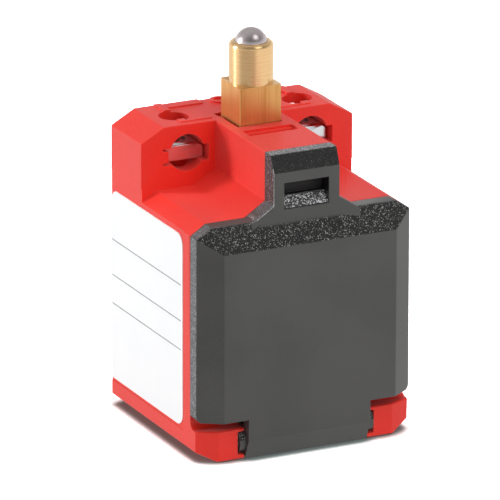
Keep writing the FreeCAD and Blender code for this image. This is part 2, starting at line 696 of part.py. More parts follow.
def build_clip():
    """The fork in the plunger's grooves that stops it below the head."""
    low, high = beside(PLUNGER_Y, "clip_half")
    plate = box("clip_plate", ("-1 * clip_half", low, "clip_base"),
                ("clip_half", high, "clip_base + clip_height"))
    gap = "neck_half + neck_clearance"
    opening = box("clip_opening", (f"-1 * ({gap})", f"{low} - 1", "clip_base - 1"),
                  (gap, f"{PLUNGER_Y} + clip_web", "clip_base + clip_height + 1"))
    keep("plunger_clip", cut_away("plunger_clip", plate, [opening]))


def build_seal():
    """The rubber wiper below the head, round the square bar."""
    low, high = beside(PLUNGER_Y, "seal_half")
    block = box("seal_block", ("-1 * seal_half", low, "chamber_top + seal_gap"),
                ("seal_half", high, "chamber_top + seal_height"))
    gap = "plunger_half + guide_clearance"
    near_side, far_side = beside(PLUNGER_Y, gap)
    opening = box("seal_opening", (f"-1 * ({gap})", near_side, "chamber_top - 1"),
                  (gap, far_side, "chamber_top + seal_height + 1"))
    keep("plunger_seal", cut_away("plunger_seal", block, [opening]))


# ---------------------------------------------------------------- contact mechanism

def build_carrier():
    """The sliding carrier below the plunger, with a window for each bridge."""
    low, high = beside(PLUNGER_Y, "carrier_depth_half")
    bar = box("carrier_bar", ("-1 * carrier_half", low, "carrier_base"),
              ("carrier_half", high, "plunger_low"))
    near_side, far_side = beside(PLUNGER_Y, "window_depth_half")
    windows = [box(f"{level}_window",
                   ("-1 * carrier_half - 1", near_side, f"{level}_window_base"),
                   ("carrier_half + 1", far_side, f"{level}_window_top"))
               for level in ("upper", "lower")]
    bore = cylinder("carrier_spring_bore", "carrier_bore",
                    ("0", PLUNGER_Y, "carrier_base - 1"), "carrier_bore_top - carrier_base + 1")
    keep("contact_carrier", cut_away("contact_carrier", bar, windows + [bore]))


def build_bridge(node, base, tip_base):
    """A contact bridge and, as a second node, its two silver tips."""
    low, high = beside(PLUNGER_Y, "bridge_depth_half")
    strip = box(node, ("-1 * bridge_half", low, base),
                ("bridge_half", high, f"{base} + bridge_thickness"))
    keep(node, strip)
    keep(f"{node}_tips", group(f"{node}_tips", [
        cylinder(f"{node}_tip_{side}", "tip_radius",
                 (on_side(side, "tip_shift"), PLUNGER_Y, tip_base), "tip_height")
        for side in SIDES]))


UPPER_TIP_TOP = "upper_bridge_base + bridge_thickness + tip_height"
LOWER_BRIDGE_BASE = "lower_window_base"
LOWER_TIP_BASE = "lower_window_base - tip_height"


def build_fixed_tips():
    """The four silver tips on the terminals' arms."""
    upper = f"{UPPER_TIP_TOP} + contact_gap"
    lower = "lower_plate_base + plate_thickness"
    lower_top = f"{LOWER_TIP_BASE} - contact_stroke - contact_gap"
    tips = []
    for side in SIDES:
        across = on_side(side, "tip_shift")
        tips.append(cylinder(f"fixed_upper_tip_{side}", "tip_radius",
                             (across, PLUNGER_Y, upper), f"upper_plate_base - ({upper})"))
        tips.append(cylinder(f"fixed_lower_tip_{side}", "tip_radius",
                             (across, PLUNGER_Y, lower), f"{lower_top} - ({lower})"))
    keep("fixed_contact_tips", group("fixed_contact_tips", tips))


def build_coil(node, base, top, coil_radius, wire_radius, turns):
    """A compression spring on the plunger's axis, as a swept helix."""
    start = f"({base}) + {wire_radius} + coil_inset"
    end = f"({top}) - {wire_radius} - coil_inset"
    path = doc.addObject("Part::Helix", f"{node}_path")
    path.setExpression("Height", cells(f"({end}) - ({start})"))
    path.setExpression("Pitch", cells(f"(({end}) - ({start})) / {turns}"))
    path.setExpression("Radius", cells(coil_radius))
    place(path, "Z", ("0", PLUNGER_Y, start))
    wire = doc.addObject("Part::Circle", f"{node}_wire")
    wire.setExpression("Radius", cells(wire_radius))
    place(wire, "Y", (coil_radius, PLUNGER_Y, start))
    spring = doc.addObject("Part::Sweep", node)
    spring.Sections = [wire]
    spring.Spine = (path, ["Edge1"])
    spring.Solid = True
    spring.Frenet = True
    keep(node, spring)


def terminal(level, side):
    """One L-shaped brass terminal: arm, plate through the block, and screw pad in front."""
    name = f"terminal_{'nc' if level == 'upper' else 'no'}_{side}"
    base = f"{level}_plate_base"
    top = f"{base} + plate_thickness"
    arm_low, arm_high = beside(PLUNGER_Y, "arm_depth_half")
    pad_front = back("block_front - pad_thickness")

    def slab(part, start, end, near_y, far_y, low, high):
        limits = sorted((on_side(side, start), on_side(side, end)), key=value_of)
        return box(f"{name}_{part}", (limits[0], near_y, low), (limits[1], far_y, high))

    pad_low = f"{base} - pad_height" if level == "upper" else base
    pad_high = top if level == "upper" else f"{top} + pad_height"
    solids = [
        slab("arm", "arm_start", "plate_start + 0.5", arm_low, arm_high, base, top),
        slab("plate", "plate_start", "plate_end", pad_front, arm_high, base, top),
        slab("pad", "plate_start", "plate_end", pad_front, back("block_front"),
             pad_low, pad_high),
    ]
    whole = joined(f"{name}_whole", solids)
    hole = cylinder(f"{name}_hole", "terminal_hole",
                    (on_side(side, "terminal_shift"), f"{pad_front} - 1", PAD_HEIGHTS[level]),
                    "pad_thickness + 2", "Y")
    return keep(name, cut_away(name, whole, [hole]))


PAD_HEIGHTS = {
    "upper": "upper_plate_base - (pad_height - plate_thickness) / 2",
    "lower": "lower_plate_base + plate_thickness + (pad_height - plate_thickness) / 2",
}


def build_block(terminals):
    """The contact block's front shell, with the terminals' slots cut by the terminals."""
    front, split = back("block_front"), back("block_split")
    blank = box("block_blank", ("-1 * block_half", front, "block_base"),
                ("block_half", split, "block_top"))
    tube_low, _ = beside(PLUNGER_Y, "spring_tube_half")
    tube = box("spring_tube", ("-1 * spring_tube_half", tube_low, "spring_tube_base"),
               ("spring_tube_half", split, "block_base + 1"))
    ribs = []
    for side in SIDES:
        limits = sorted((on_side(side, "rib_start"), on_side(side, "block_half")), key=value_of)
        ribs.append(box(f"barrier_{side}", (limits[0], f"{front} - rib_reach", "rib_base"),
                        (limits[1], f"{front} + 1", "rib_base + rib_height")))
    channel = box("carrier_channel", ("-1 * channel_half", back("channel_front"),
                                      "channel_base"),
                  ("channel_half", f"{split} + 1", "block_top + 1"))
    bore = cylinder("return_spring_bore", "spring_bore", ("0", PLUNGER_Y, "spring_seat"),
                    "channel_base - spring_seat + 1")
    upper = box("upper_contact_room", ("-1 * room_half", back("room_front"),
                                       "upper_room_base"),
                ("room_half", f"{split} + 1", "upper_plate_base"))
    lower = box("lower_contact_room", ("-1 * room_half", back("room_front"),
                                       "lower_plate_base + plate_thickness"),
                ("room_half", f"{split} + 1", "lower_room_top"))
    slots = []
    arm_high = beside(PLUNGER_Y, "arm_depth_half")[1]
    for level in PAD_HEIGHTS:
        base = f"{level}_plate_base"
        for side in SIDES:
            limits = sorted((on_side(side, "arm_start"), on_side(side, "plate_end")),
                            key=value_of)
            slots.append(box(f"{level}_slot_back_{side}", (limits[0], arm_high, base),
                             (limits[1], f"{split} + 1", f"{base} + plate_thickness")))
            slots.append(cylinder(f"{level}_screw_hole_{side}", "terminal_hole",
                                  (on_side(side, "terminal_shift"), f"{front} - 1",
                                   PAD_HEIGHTS[level]),
                                  "terminal_bore_end - block_front + 1", "Y"))
    holes = [cylinder(f"block_hole_{side}", "block_screw_hole",
                      (on_side(side, "block_screw_shift"), f"{front} - 1",
                       "block_screw_height"),
                      "block_back - block_front + 2", "Y") for side in SIDES]
    shell = joined("block_shell", [blank, tube] + ribs)
    tools = [channel, bore, upper, lower] + slots + holes + terminals
    keep("contact_block", cut_away("contact_block", shell, tools))


def build_block_back():
    """The plate that closes the contact block behind."""
    plate = box("block_back_plate", ("-1 * block_half", back("block_split"), "spring_tube_base"),
                ("block_half", back("block_back"), "block_top"))
    holes = [cylinder(f"back_plate_hole_{side}", "block_screw_hole",
                      (on_side(side, "block_screw_shift"), back("block_split - 1"),
                       "block_screw_height"),
                      "block_back - block_split + 2", "Y") for side in SIDES]
    keep("contact_block_back", cut_away("contact_block_back", plate, holes))


def screw(name, across, height, head, shank, recess):
    """A pan-head screw along Y: head and shank as (radius, front, back) depths."""
    head_radius, head_front, head_back = head
    shank_radius, _, shank_end = shank
    crown = cone(f"{name}_crown", f"{head_radius} - 0.5", head_radius,
                 (across, back(head_front), height), "0.5", "Y")
    body = cylinder(f"{name}_head", head_radius, (across, f"{back(head_front)} + 0.5", height),
                    f"({head_back}) - ({head_front}) - 0.5", "Y")
    thread = cylinder(f"{name}_shank", shank_radius, (across, back(head_back), height),
                      f"({shank_end}) - ({head_back})", "Y")
    width, length = recess
    low, high = beside(back(head_front), "recess_sink")
    slots = [box(f"{name}_recess_{turn}",
                 (beside(across, f"{long} / 2")[0], low, beside(height, f"{tall} / 2")[0]),
                 (beside(across, f"{long} / 2")[1], high, beside(height, f"{tall} / 2")[1]))
             for turn, long, tall in (("across", length, width), ("upright", width, length))]
    return cut_away(name, joined(f"{name}_solid", [crown, body, thread]), slots)


def build_screws():
    """Terminal screws, their clamp plates and the contact block's two screws."""
    clamp_back = "block_front - pad_thickness"
    clamp_front = f"{clamp_back} - clamp_thickness"
    screws, clamps = [], []
    for level, height in PAD_HEIGHTS.items():
        for side in SIDES:
            across = on_side(side, "terminal_shift")
            screws.append(screw(
                f"terminal_screw_{level}_{side}", across, height,
                ("terminal_head_radius", f"{clamp_front} - terminal_head_length", clamp_front),
                ("terminal_screw_radius", clamp_front, "terminal_screw_end"),
                ("recess_width", "recess_length")))
            low_x, high_x = beside(across, "clamp_half")
            low_z, high_z = beside(height, "clamp_half")
            plate = box(f"clamp_plate_{level}_{side}", (low_x, back(clamp_front), low_z),
                        (high_x, back(clamp_back), high_z))
            hole = cylinder(f"clamp_hole_{level}_{side}", "terminal_hole",
                            (across, f"{back(clamp_front)} - 1", height),
                            "clamp_thickness + 2", "Y")
            clamps.append(cut_away(f"clamp_{level}_{side}", plate, [hole]))
    keep("terminal_screws", group("terminal_screws", screws))
    keep("clamp_plates", group("clamp_plates", clamps))
    keep("block_screws", group("block_screws", [
        screw(f"block_screw_{side}", on_side(side, "block_screw_shift"), "block_screw_height",
              ("block_screw_head", "block_front - block_screw_head_length", "block_front"),
              ("block_screw_radius", "block_front", "block_screw_end"),
              ("recess_width", "recess_length")) for side in SIDES]))


# ---------------------------------------------------------------- nuts and label

def build_nuts():
    """The two square nuts held in the head, with their corners turned off on top."""
    nuts = []
    for side in SIDES:
        centre = (bolt_line(side), back("top_hole_depth"))
        low_x, high_x = beside(centre[0], "nut_side / 2")
        low_y, high_y = beside(centre[1], "nut_side / 2")
        blank = box(f"nut_blank_{side}", (low_x, low_y, "nut_base"),
                    (high_x, high_y, "nut_base + nut_height"))
        turned = cone(f"nut_turned_{side}", "nut_corner + nut_height", "nut_corner",
                      (*centre, "nut_base"), "nut_height")
        form = doc.addObject("Part::MultiCommon", f"nut_form_{side}")
        form.Shapes = [blank, turned]
        bore = cylinder(f"nut_bore_{side}", "nut_bore", (*centre, "nut_base - 1"),
                        "nut_height + 2")
        nuts.append(cut_away(f"nut_{side}", form, [bore]))
    keep("mounting_nuts", group("mounting_nuts", nuts))


def build_label():
    """The blank label in the left side's recess."""
    body = new_body("side_label")
    skin = f"-1 * ({HALF} - recess_step)"
    extrude(body, "label_plate", "Pad", "YZ_Plane", f"-1 * ({HALF})", skin,
            [rectangle(back("label_front"), back("label_back"), "label_bottom", "label_top")])
    x_axis = FreeCAD.Vector(1, 0, 0)
    dress_edges(body, "label_corners", "Fillet", "Radius", "label_corner",
                lambda edge, middle: along(edge, x_axis)
                and not (near(middle.z, "label_bottom") and near(middle.y, back("label_back"))))
    keep("side_label", body)


# ---------------------------------------------------------------- checks and files

def check_features():
    """Stop if anything failed, or a Pad or Pocket did not change its body the right way."""
    problems = []
    for item in doc.Objects:
        if {"Invalid", "Error"} & set(item.State):
            problems.append(f"{item.Label}: {item.State}")
    for body in (item for item in doc.Objects if item.TypeId == "PartDesign::Body"):
        volume = 0.0
        for feature in body.Group:
            if not hasattr(feature, "Shape") or feature.TypeId.startswith("Sketcher"):
                continue
            change = feature.Shape.Volume - volume
            grows = feature.TypeId == "PartDesign::Pad"
            shrinks = feature.TypeId == "PartDesign::Pocket"
            if (grows and change < 1e-6) or (shrinks and change > -1e-6):
                problems.append(f"{body.Label}.{feature.Label}: volume change {change:.6f}")
            volume = feature.Shape.Volume
    for node, piece in pieces.items():
        shape = piece.Shape
        if shape.isNull() or not shape.isValid() or not shape.Solids:
            problems.append(f"{node}: no valid solid")
    if problems:
        sys.exit("\n".join(problems))


def main():
    """Build every piece, check the document and write one STEP file per node."""
    build_housing()
    build_cover()
    build_gasket()
    build_label()
    build_nuts()
    build_plunger()
    build_ball()
    build_clip()
    build_seal()
    build_carrier()
    build_bridge("nc_bridge", "upper_bridge_base", "upper_bridge_base + bridge_thickness")
    build_bridge("no_bridge", LOWER_BRIDGE_BASE, LOWER_TIP_BASE)
    build_fixed_tips()
    build_coil("return_spring", "spring_seat", "carrier_bore_top",
               "return_coil", "return_wire", "return_turns")
    build_coil("nc_contact_spring", "upper_window_base", "upper_bridge_base",
               "contact_coil", "contact_wire", "contact_turns")
    build_coil("no_contact_spring", f"{LOWER_BRIDGE_BASE} + bridge_thickness",
               "lower_window_top", "contact_coil", "contact_wire", "contact_turns")
    terminals = [terminal(level, side) for level in PAD_HEIGHTS for side in SIDES]
    build_block(terminals)
    build_block_back()
    build_screws()
    doc.recompute()
    check_features()
    os.makedirs("parts", exist_ok=True)
    for node, piece in pieces.items():
        piece.Shape.exportStep(f"parts/{node}.step")
        bounds = piece.Shape.BoundBox
        print(f"{node:22s} solids {len(piece.Shape.Solids)}  volume {piece.Shape.Volume:9.1f}"
              f"  x {bounds.XMin:7.2f} {bounds.XMax:7.2f}  y {bounds.YMin:7.2f}"
              f" {bounds.YMax:7.2f}  z {bounds.ZMin:6.2f} {bounds.ZMax:6.2f}")


main()
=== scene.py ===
"""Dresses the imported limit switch: softened mouldings, finishes, studio and camera."""

import logging
import math
from collections.abc import Callable
from dataclasses import dataclass, field
from enum import Enum

import bmesh
import bpy
from mathutils import Matrix, Vector


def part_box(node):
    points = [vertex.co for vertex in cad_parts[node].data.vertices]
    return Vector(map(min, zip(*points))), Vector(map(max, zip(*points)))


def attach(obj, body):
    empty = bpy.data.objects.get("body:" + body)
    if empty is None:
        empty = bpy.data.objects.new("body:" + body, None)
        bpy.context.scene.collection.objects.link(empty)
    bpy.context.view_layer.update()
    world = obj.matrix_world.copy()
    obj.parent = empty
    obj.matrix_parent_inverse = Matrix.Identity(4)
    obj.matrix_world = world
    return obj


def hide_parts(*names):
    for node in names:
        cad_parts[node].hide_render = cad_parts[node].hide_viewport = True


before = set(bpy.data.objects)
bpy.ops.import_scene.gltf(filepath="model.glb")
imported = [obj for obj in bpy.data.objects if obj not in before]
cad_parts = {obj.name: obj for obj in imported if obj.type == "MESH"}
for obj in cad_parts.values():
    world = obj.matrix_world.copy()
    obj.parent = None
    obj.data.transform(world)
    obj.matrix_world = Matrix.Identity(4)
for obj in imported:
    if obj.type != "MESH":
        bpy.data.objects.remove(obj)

LOG = logging.getLogger("limit_switch")
MM = 0.001
WHITE = (1.0, 1.0, 1.0, 1.0)

# Where most values of a noise texture lie, and most heights of the moulded grain
NOISE_MIDDLE = (0.35, 0.65)
GRAIN_HEIGHTS = (0.4, 1.1)

# How a CAD copy is cleaned, softened and shaded
MERGE_REACH = 0.0005 * MM
FLAT_ANGLE = math.radians(0.3)
SHARP_ANGLE = math.radians(22)
SMOOTH_ANGLE = math.radians(35)
ROOM_PER_WIDTH = 3

Colour = tuple[float, float, float]
Pair = tuple[float, float]
Window = tuple[float, float, float, float]
Feed = bpy.types.NodeSocket | float | tuple[float, ...]


# ---------------------------------------------------------------- node trees


class Graph:
    """Short calls that add and join the nodes of one tree."""

    def __init__(self, tree: bpy.types.NodeTree) -> None:
        """Keep the tree that nodes are added to."""
        self.tree = tree

    def feed(self, socket: bpy.types.NodeSocket, value: Feed) -> None:
        """Link a socket to another one, or set its plain value.

        Args:
            socket: the input socket.
            value: the socket that feeds it, or its value.
        """
        if isinstance(value, bpy.types.NodeSocket):
            self.tree.links.new(value, socket)
        else:
            socket.default_value = value

    def add(self, kind: str, inputs: dict[str, Feed] | None = None, **settings) -> bpy.types.Node:
        """Add one node.

        Args:
            kind: the node's type name.
            inputs: values or sockets by input name.
            settings: the node's own properties.

        Returns:
            The new node.
        """
        node = self.tree.nodes.new(kind)
        for name, value in settings.items():
            setattr(node, name, value)
        for name, value in (inputs or {}).items():
            self.feed(node.inputs[name], value)
        return node

    def math(self, operation: str, *terms: Feed) -> bpy.types.NodeSocket:
        """Add a math node.

        Args:
            operation: what the node works out.
            terms: the numbers or sockets that it works on.

        Returns:
            The result's socket.
        """
        node = self.add("ShaderNodeMath", operation=operation)
        for socket, term in zip(node.inputs, terms):
            self.feed(socket, term)
        return node.outputs[0]

    def product(self, *terms: Feed) -> Feed:
        """Multiply numbers, such as masks that all have to hold.

        Args:
            terms: the numbers or sockets.

        Returns:
            The product's socket.
        """
        result, *others = terms
        for term in others:
            result = self.math("MULTIPLY", result, term)
        return result

    def span(self, value: Feed, start: float, end: float, low: Feed = 0.0,
             high: Feed = 1.0) -> bpy.types.NodeSocket:
        """Map a value smoothly from start..end to low..high.

        Args:
            value: the number that is mapped.
            start: where the result is low.
            end: where the result is high.
            low: the result at start.
            high: the result at end.

        Returns:
            The mapped number's socket.
        """
        node = self.add("ShaderNodeMapRange", {"Value": value, "From Min": start, "From Max": end,
                                               "To Min": low, "To Max": high},
                        interpolation_type="SMOOTHSTEP")
        return node.outputs[0]

    def window(self, value: Feed, limits: Window) -> Feed:
        """A mask that is 1 between the two middle limits and fades to 0 at the outer two.

        Args:
            value: the number that is tested.
            limits: where the mask starts to rise, is full, starts to fall and has gone.

        Returns:
            The mask's socket.
        """
        rising, full, falling, gone = limits
        return self.product(self.span(value, rising, full), self.span(value, gone, falling))

    def tint(self, factor: Feed, low: Feed, high: Feed) -> bpy.types.NodeSocket:
        """Mix two colours.

        Args:
            factor: how far the mix goes from low to high.
            low: the colour or socket at 0.
            high: the colour or socket at 1.

        Returns:
            The mixed colour's socket.
        """
        node = self.add("ShaderNodeMix", data_type="RGBA")
        colour_inputs = [socket for socket in node.inputs if socket.type == "RGBA"]
        self.feed(node.inputs[0], factor)
        for socket, value in zip(colour_inputs, (low, high)):
            self.feed(socket, value if isinstance(value, bpy.types.NodeSocket) else (*value, 1.0))
        return next(socket for socket in node.outputs if socket.type == "RGBA")

    def blend(self, factor: Feed, low: Feed, high: Feed) -> bpy.types.NodeSocket:
        """Mix two numbers.

        Args:
            factor: how far the mix goes from low to high.
            low: the number or socket at 0.
            high: the number or socket at 1.

        Returns:
            The mixed number's socket.
        """
        node = self.add("ShaderNodeMix", data_type="FLOAT")
        for socket, value in zip((node.inputs[0], node.inputs[2], node.inputs[3]),
                                 (factor, low, high)):
            self.feed(socket, value)
        return node.outputs[0]

    def coordinates(self, stretch: Colour = (1.0, 1.0, 1.0)) -> bpy.types.NodeSocket:
        """Object coordinates, scaled along each axis."""
        place = self.add("ShaderNodeTexCoord").outputs["Object"]
        return self.add("ShaderNodeMapping", {"Vector": place, "Scale": stretch}).outputs[0]

    def axis(self, name: str) -> bpy.types.NodeSocket:
        """One of the object coordinates, X, Y or Z."""
        place = self.add("ShaderNodeTexCoord").outputs["Object"]
        return self.add("ShaderNodeSeparateXYZ", {"Vector": place}).outputs[name]

    def noise(self, vector: Feed, scale: Feed, detail: float = 2.0,
              rough: float = 0.5) -> bpy.types.NodeSocket:
        """Add a noise texture and return its value, 0 to 1."""
        return self.add("ShaderNodeTexNoise", {"Vector": vector, "Scale": scale, "Detail": detail,
                                               "Roughness": rough}).outputs[0]

    def group(self, tree: bpy.types.NodeTree, inputs: dict[str, Feed]) -> bpy.types.Node:
        """Place a shader node group.

        Args:
            tree: the group.
            inputs: this material's values or sockets by input name.

        Returns:
            The group's node.
        """
        node = self.add("ShaderNodeGroup", node_tree=tree)
        for name, value in inputs.items():
            self.feed(node.inputs[name], value)
        return node


def new_effect(name: str, inputs: dict[str, float],
               outputs: tuple[str, ...]) -> tuple[Graph, bpy.types.Node, bpy.types.Node]:
    """Start a shader node group with float inputs.

    Args:
        name: the group's name.
        inputs: the inputs and their default values.
        outputs: the outputs' names; one called Normal is a vector.

    Returns:
        The group's graph, its input node and its output node.
    """
    tree = bpy.data.node_groups.new(name, "ShaderNodeTree")
    for label, value in inputs.items():
        socket = tree.interface.new_socket(name=label, in_out="INPUT",
                                           socket_type="NodeSocketFloat")
        socket.default_value = value
    for label in outputs:
        kind = "NodeSocketVector" if label == "Normal" else "NodeSocketFloat"
        tree.interface.new_socket(name=label, in_out="OUTPUT", socket_type=kind)
    graph = Graph(tree)
    return graph, graph.add("NodeGroupInput"), graph.add("NodeGroupOutput")


class Effects:
    """The node groups that several finishes share."""

    # The cosines of the true to the rounded normal where the painted edge highlight starts and is
    # full
    HIGHLIGHT_TURN: Pair = (0.995, 0.86)
    # The noise where the painted edge highlight breaks up, and what is left of it there
    HIGHLIGHT_BREAKS: Pair = (0.3, 0.6)
    HIGHLIGHT_LEFT: float = 0.35
    # The second grain's scale and share beside the first
    FINER_SCALE: float = 2.7
    FINER_SHARE: float = 0.5
    # Eroded pitting and painted glints: the unevenness beside the cells, and how much it and the
    # clusters add
    UNEVEN_SCALE: float = 0.9
    CELL_SHARE: float = 0.6
    CLUSTER_SCALE: float = 0.15
    CLUSTER_CHANCE: float = 0.06
    UNEVEN_CHANCE: float = 0.12
    CHANCE_NOISE: Pair = (0.3, 0.7)
    GLINT_SOFTNESS: float = 0.22
    # Tool lines: the broad lines' scale beside the fine ones, and the fine ones' share
    BROAD_SCALE: float = 0.2
    FINE_SHARE: float = 0.6

    def __init__(self) -> None:
        """Build each group once."""
        # The edge group masks a painted edge highlight; the eroded group gives bump and painted
        # glints.
        self.edges = self.build_edge_highlights()
        self.grain = self.build_grain()
        self.eroded = self.build_eroded()
        self.lines = self.build_lines()

    def build_edge_highlights(self) -> bpy.types.NodeTree:
        """A mask of the strip along sharp edges where a paler highlight is painted.

        Returns:
            The group, with Width and Break in and Mask out.
        """
        graph, start, end = new_effect("painted_edge_highlight", {"Width": 0.3 * MM, "Break": 900.0},
                                       ("Mask",))
        rounded = graph.add("ShaderNodeBevel", {"Radius": start.outputs["Width"]}, samples=6)
        plain = graph.add("ShaderNodeNewGeometry").outputs["Normal"]
        same = graph.add("ShaderNodeVectorMath", operation="DOT_PRODUCT")
        graph.feed(same.inputs[0], rounded.outputs[0])
        graph.feed(same.inputs[1], plain)
        turned = graph.span(same.outputs["Value"], *self.HIGHLIGHT_TURN)
        breaks = graph.noise(graph.coordinates(), start.outputs["Break"], 3.0)
        patchy = graph.span(breaks, *self.HIGHLIGHT_BREAKS, self.HIGHLIGHT_LEFT, 1.0)
        graph.feed(end.inputs["Mask"], graph.product(turned, patchy))
        return graph.tree

    def build_grain(self) -> bpy.types.NodeTree:
        """The fine even grain of a moulding tool, with a slow drift of tone.

        Returns:
            The group, with Scale and Drift in and Height and Tone out.
        """
        graph, start, end = new_effect("mould_grain", {"Scale": 3500.0, "Drift": 60.0},
                                       ("Height", "Tone"))
        place = graph.coordinates()
        scale = start.outputs["Scale"]
        fine = graph.noise(place, scale, 2.0, 0.6)
        finer = graph.noise(place, graph.product(scale, self.FINER_SCALE), 1.0)
        graph.feed(end.inputs["Height"],
                   graph.math("ADD", fine, graph.product(finer, self.FINER_SHARE)))
        graph.feed(end.inputs["Tone"], graph.noise(place, start.outputs["Drift"], 3.0))
        return graph.tree

    def build_eroded(self) -> bpy.types.NodeTree:
        """The coarse spark-eroded skin: a bump for its pitted surface, and a mask of painted
        glints.

        Returns:
            The group, with Scale and Amount in and Height and the mask of painted glints out.
        """
        graph, start, end = new_effect("spark_eroded_glints", {"Scale": 4200.0, "Amount": 0.3},
                                       ("Height", "Glint"))
        place = graph.coordinates()
        scale = start.outputs["Scale"]
        uneven = graph.noise(place, graph.product(scale, self.UNEVEN_SCALE), 2.0)
        cells = graph.add("ShaderNodeTexVoronoi", {"Vector": place, "Scale": scale})
        tone = graph.add("ShaderNodeSeparateColor", {"Color": cells.outputs["Color"]}).outputs[0]
        graph.feed(end.inputs["Height"],
                   graph.math("ADD", graph.product(tone, self.CELL_SHARE), uneven))
        # Painted glints: where the chance passes the limit set by the amount
        clusters = graph.noise(place, graph.product(scale, self.CLUSTER_SCALE), 2.0)
        chance = tone
        for noise, reach in ((clusters, self.CLUSTER_CHANCE), (uneven, self.UNEVEN_CHANCE)):
            chance = graph.math("ADD", chance,
                                graph.span(noise, *self.CHANCE_NOISE, -reach, reach))
        limit = graph.math("SUBTRACT", 1.0, start.outputs["Amount"])
        excess = graph.math("SUBTRACT", chance, limit)
        graph.feed(end.inputs["Glint"], graph.span(excess, 0.0, self.GLINT_SOFTNESS))
        return graph.tree

    def build_lines(self) -> bpy.types.NodeTree:
        """Fine tool lines: along Z on a drawn bar, or round it where it was turned.

        Returns:
            The group, with Scale, Across and Along in and Height and Tone out.
        """
        graph, start, end = new_effect("tool_lines",
                                       {"Scale": 2600.0, "Across": 1.0, "Along": 0.03},
                                       ("Height", "Tone"))
        place = graph.add("ShaderNodeTexCoord").outputs["Object"]
        parts = graph.add("ShaderNodeSeparateXYZ", {"Vector": place})
        scales = {"X": "Across", "Y": "Across", "Z": "Along"}
        scaled = {axis: graph.product(parts.outputs[axis], start.outputs[label])
                  for axis, label in scales.items()}
        vector = graph.add("ShaderNodeCombineXYZ", scaled).outputs[0]
        fine = graph.noise(vector, start.outputs["Scale"], 3.0, 0.7)
        broad = graph.noise(vector, graph.product(start.outputs["Scale"], self.BROAD_SCALE))
        graph.feed(end.inputs["Height"], fine)
        graph.feed(end.inputs["Tone"], graph.blend(self.FINE_SHARE, broad, fine))
        return graph.tree


# ---------------------------------------------------------------- finishes


class Grain(Enum):
    """How high a moulding's grain stands up."""

    FINE = 0.006 * MM
    MEDIUM = 0.012 * MM


class Finish:
    """What every finish shares: an empty material to start from, mottle, gloss and relief."""

    name: str

    def start(self) -> tuple[bpy.types.Material, Graph, bpy.types.Node]:
        """Make an empty material.

        Returns:
            The material, its graph and its Principled BSDF.
        """
        material = bpy.data.materials.new(self.name)
        material.use_nodes = True
        graph = Graph(material.node_tree)
        shader = material.node_tree.nodes["Principled BSDF"]
        return material, graph, shader

    def mottle(self, graph: Graph, grain: bpy.types.Node) -> bpy.types.NodeSocket:
        """Mix slow drift and fine grain in equal shares.

        Args:
            graph: the material's graph.
            grain: the moulded grain's node.

        Returns:
            A mask of the second colour.
        """
        slow = graph.span(grain.outputs["Tone"], *NOISE_MIDDLE)
        return graph.blend(0.5, slow, graph.span(grain.outputs["Height"], 0.5, 1.0))

    def uneven(self, graph: Graph, grain: bpy.types.Node, roughness: float,
               spread: Pair) -> bpy.types.NodeSocket:
        """Roughness that follows the moulded grain.

        Args:
            graph: the material's graph.
            grain: the moulded grain's node.
            roughness: the roughness about which it varies.
            spread: how far below and above it goes.

        Returns:
            The roughness.
        """
        below, above = spread
        return graph.span(grain.outputs["Height"], *GRAIN_HEIGHTS, roughness - below,
                          roughness + above)

    def bump(self, graph: Graph, shader: bpy.types.Node, height: Feed, depth: Feed) -> None:
        """Raise the surface.

        Args:
            graph: the material's graph.
            shader: its Principled BSDF.
            height: the height, from 0 to about 1.
            depth: how high 1 stands.
        """
        relief = graph.add("ShaderNodeBump", {"Height": height, "Distance": depth})
        graph.feed(shader.inputs["Normal"], relief.outputs[0])

    def material(self, effects: Effects) -> bpy.types.Material:
        """Make the material; each finish has its own."""
        raise NotImplementedError


@dataclass(frozen=True)
class Moulding(Finish):
    """Moulded plastic or rubber: pigment, gloss, grain and a paler highlight painted along sharp
    edges.
    """

    name: str
    colour: Colour
    drift: Colour
    # The pale colour of the highlight painted along sharp edges
    edge: Colour
    roughness: float = 0.42
    gloss_spread: Pair = (0.05, 0.07)
    grain: Grain = Grain.FINE
    grain_scale: float = 3500.0
    # How wide the painted edge highlight reaches, and how strongly it is painted
    edge_width: float = 0.25 * MM
    highlight_strength: float = 0.5
    sheen: float = 0.0

    def material(self, effects: Effects) -> bpy.types.Material:
        """Make the plastic's material.

        Args:
            effects: the shared node groups.

        Returns:
            The material.
        """
        material, graph, shader = self.start()
        grain = graph.group(effects.grain, {"Scale": self.grain_scale})
        # Paint the paler highlight along sharp edges
        edge_highlight_mask = graph.group(effects.edges, {"Width": self.edge_width}).outputs["Mask"]
        body = graph.tint(self.mottle(graph, grain), self.colour, self.drift)
        strength = graph.product(edge_highlight_mask, self.highlight_strength)
        graph.feed(shader.inputs["Base Color"], graph.tint(strength, body, self.edge))
        graph.feed(shader.inputs["Roughness"],
                   self.uneven(graph, grain, self.roughness, self.gloss_spread))
        shader.inputs["Sheen Weight"].default_value = self.sheen
        self.bump(graph, shader, grain.outputs["Height"], self.grain.value)
        return material


@dataclass(frozen=True)
class Skin:
    """One spark-eroded skin: its pit colour and the colour of its painted glints, their size,
    share and gloss.
    """

    pit: Colour
    glint: Colour
    scale: float
    amount: float
    roughness: float


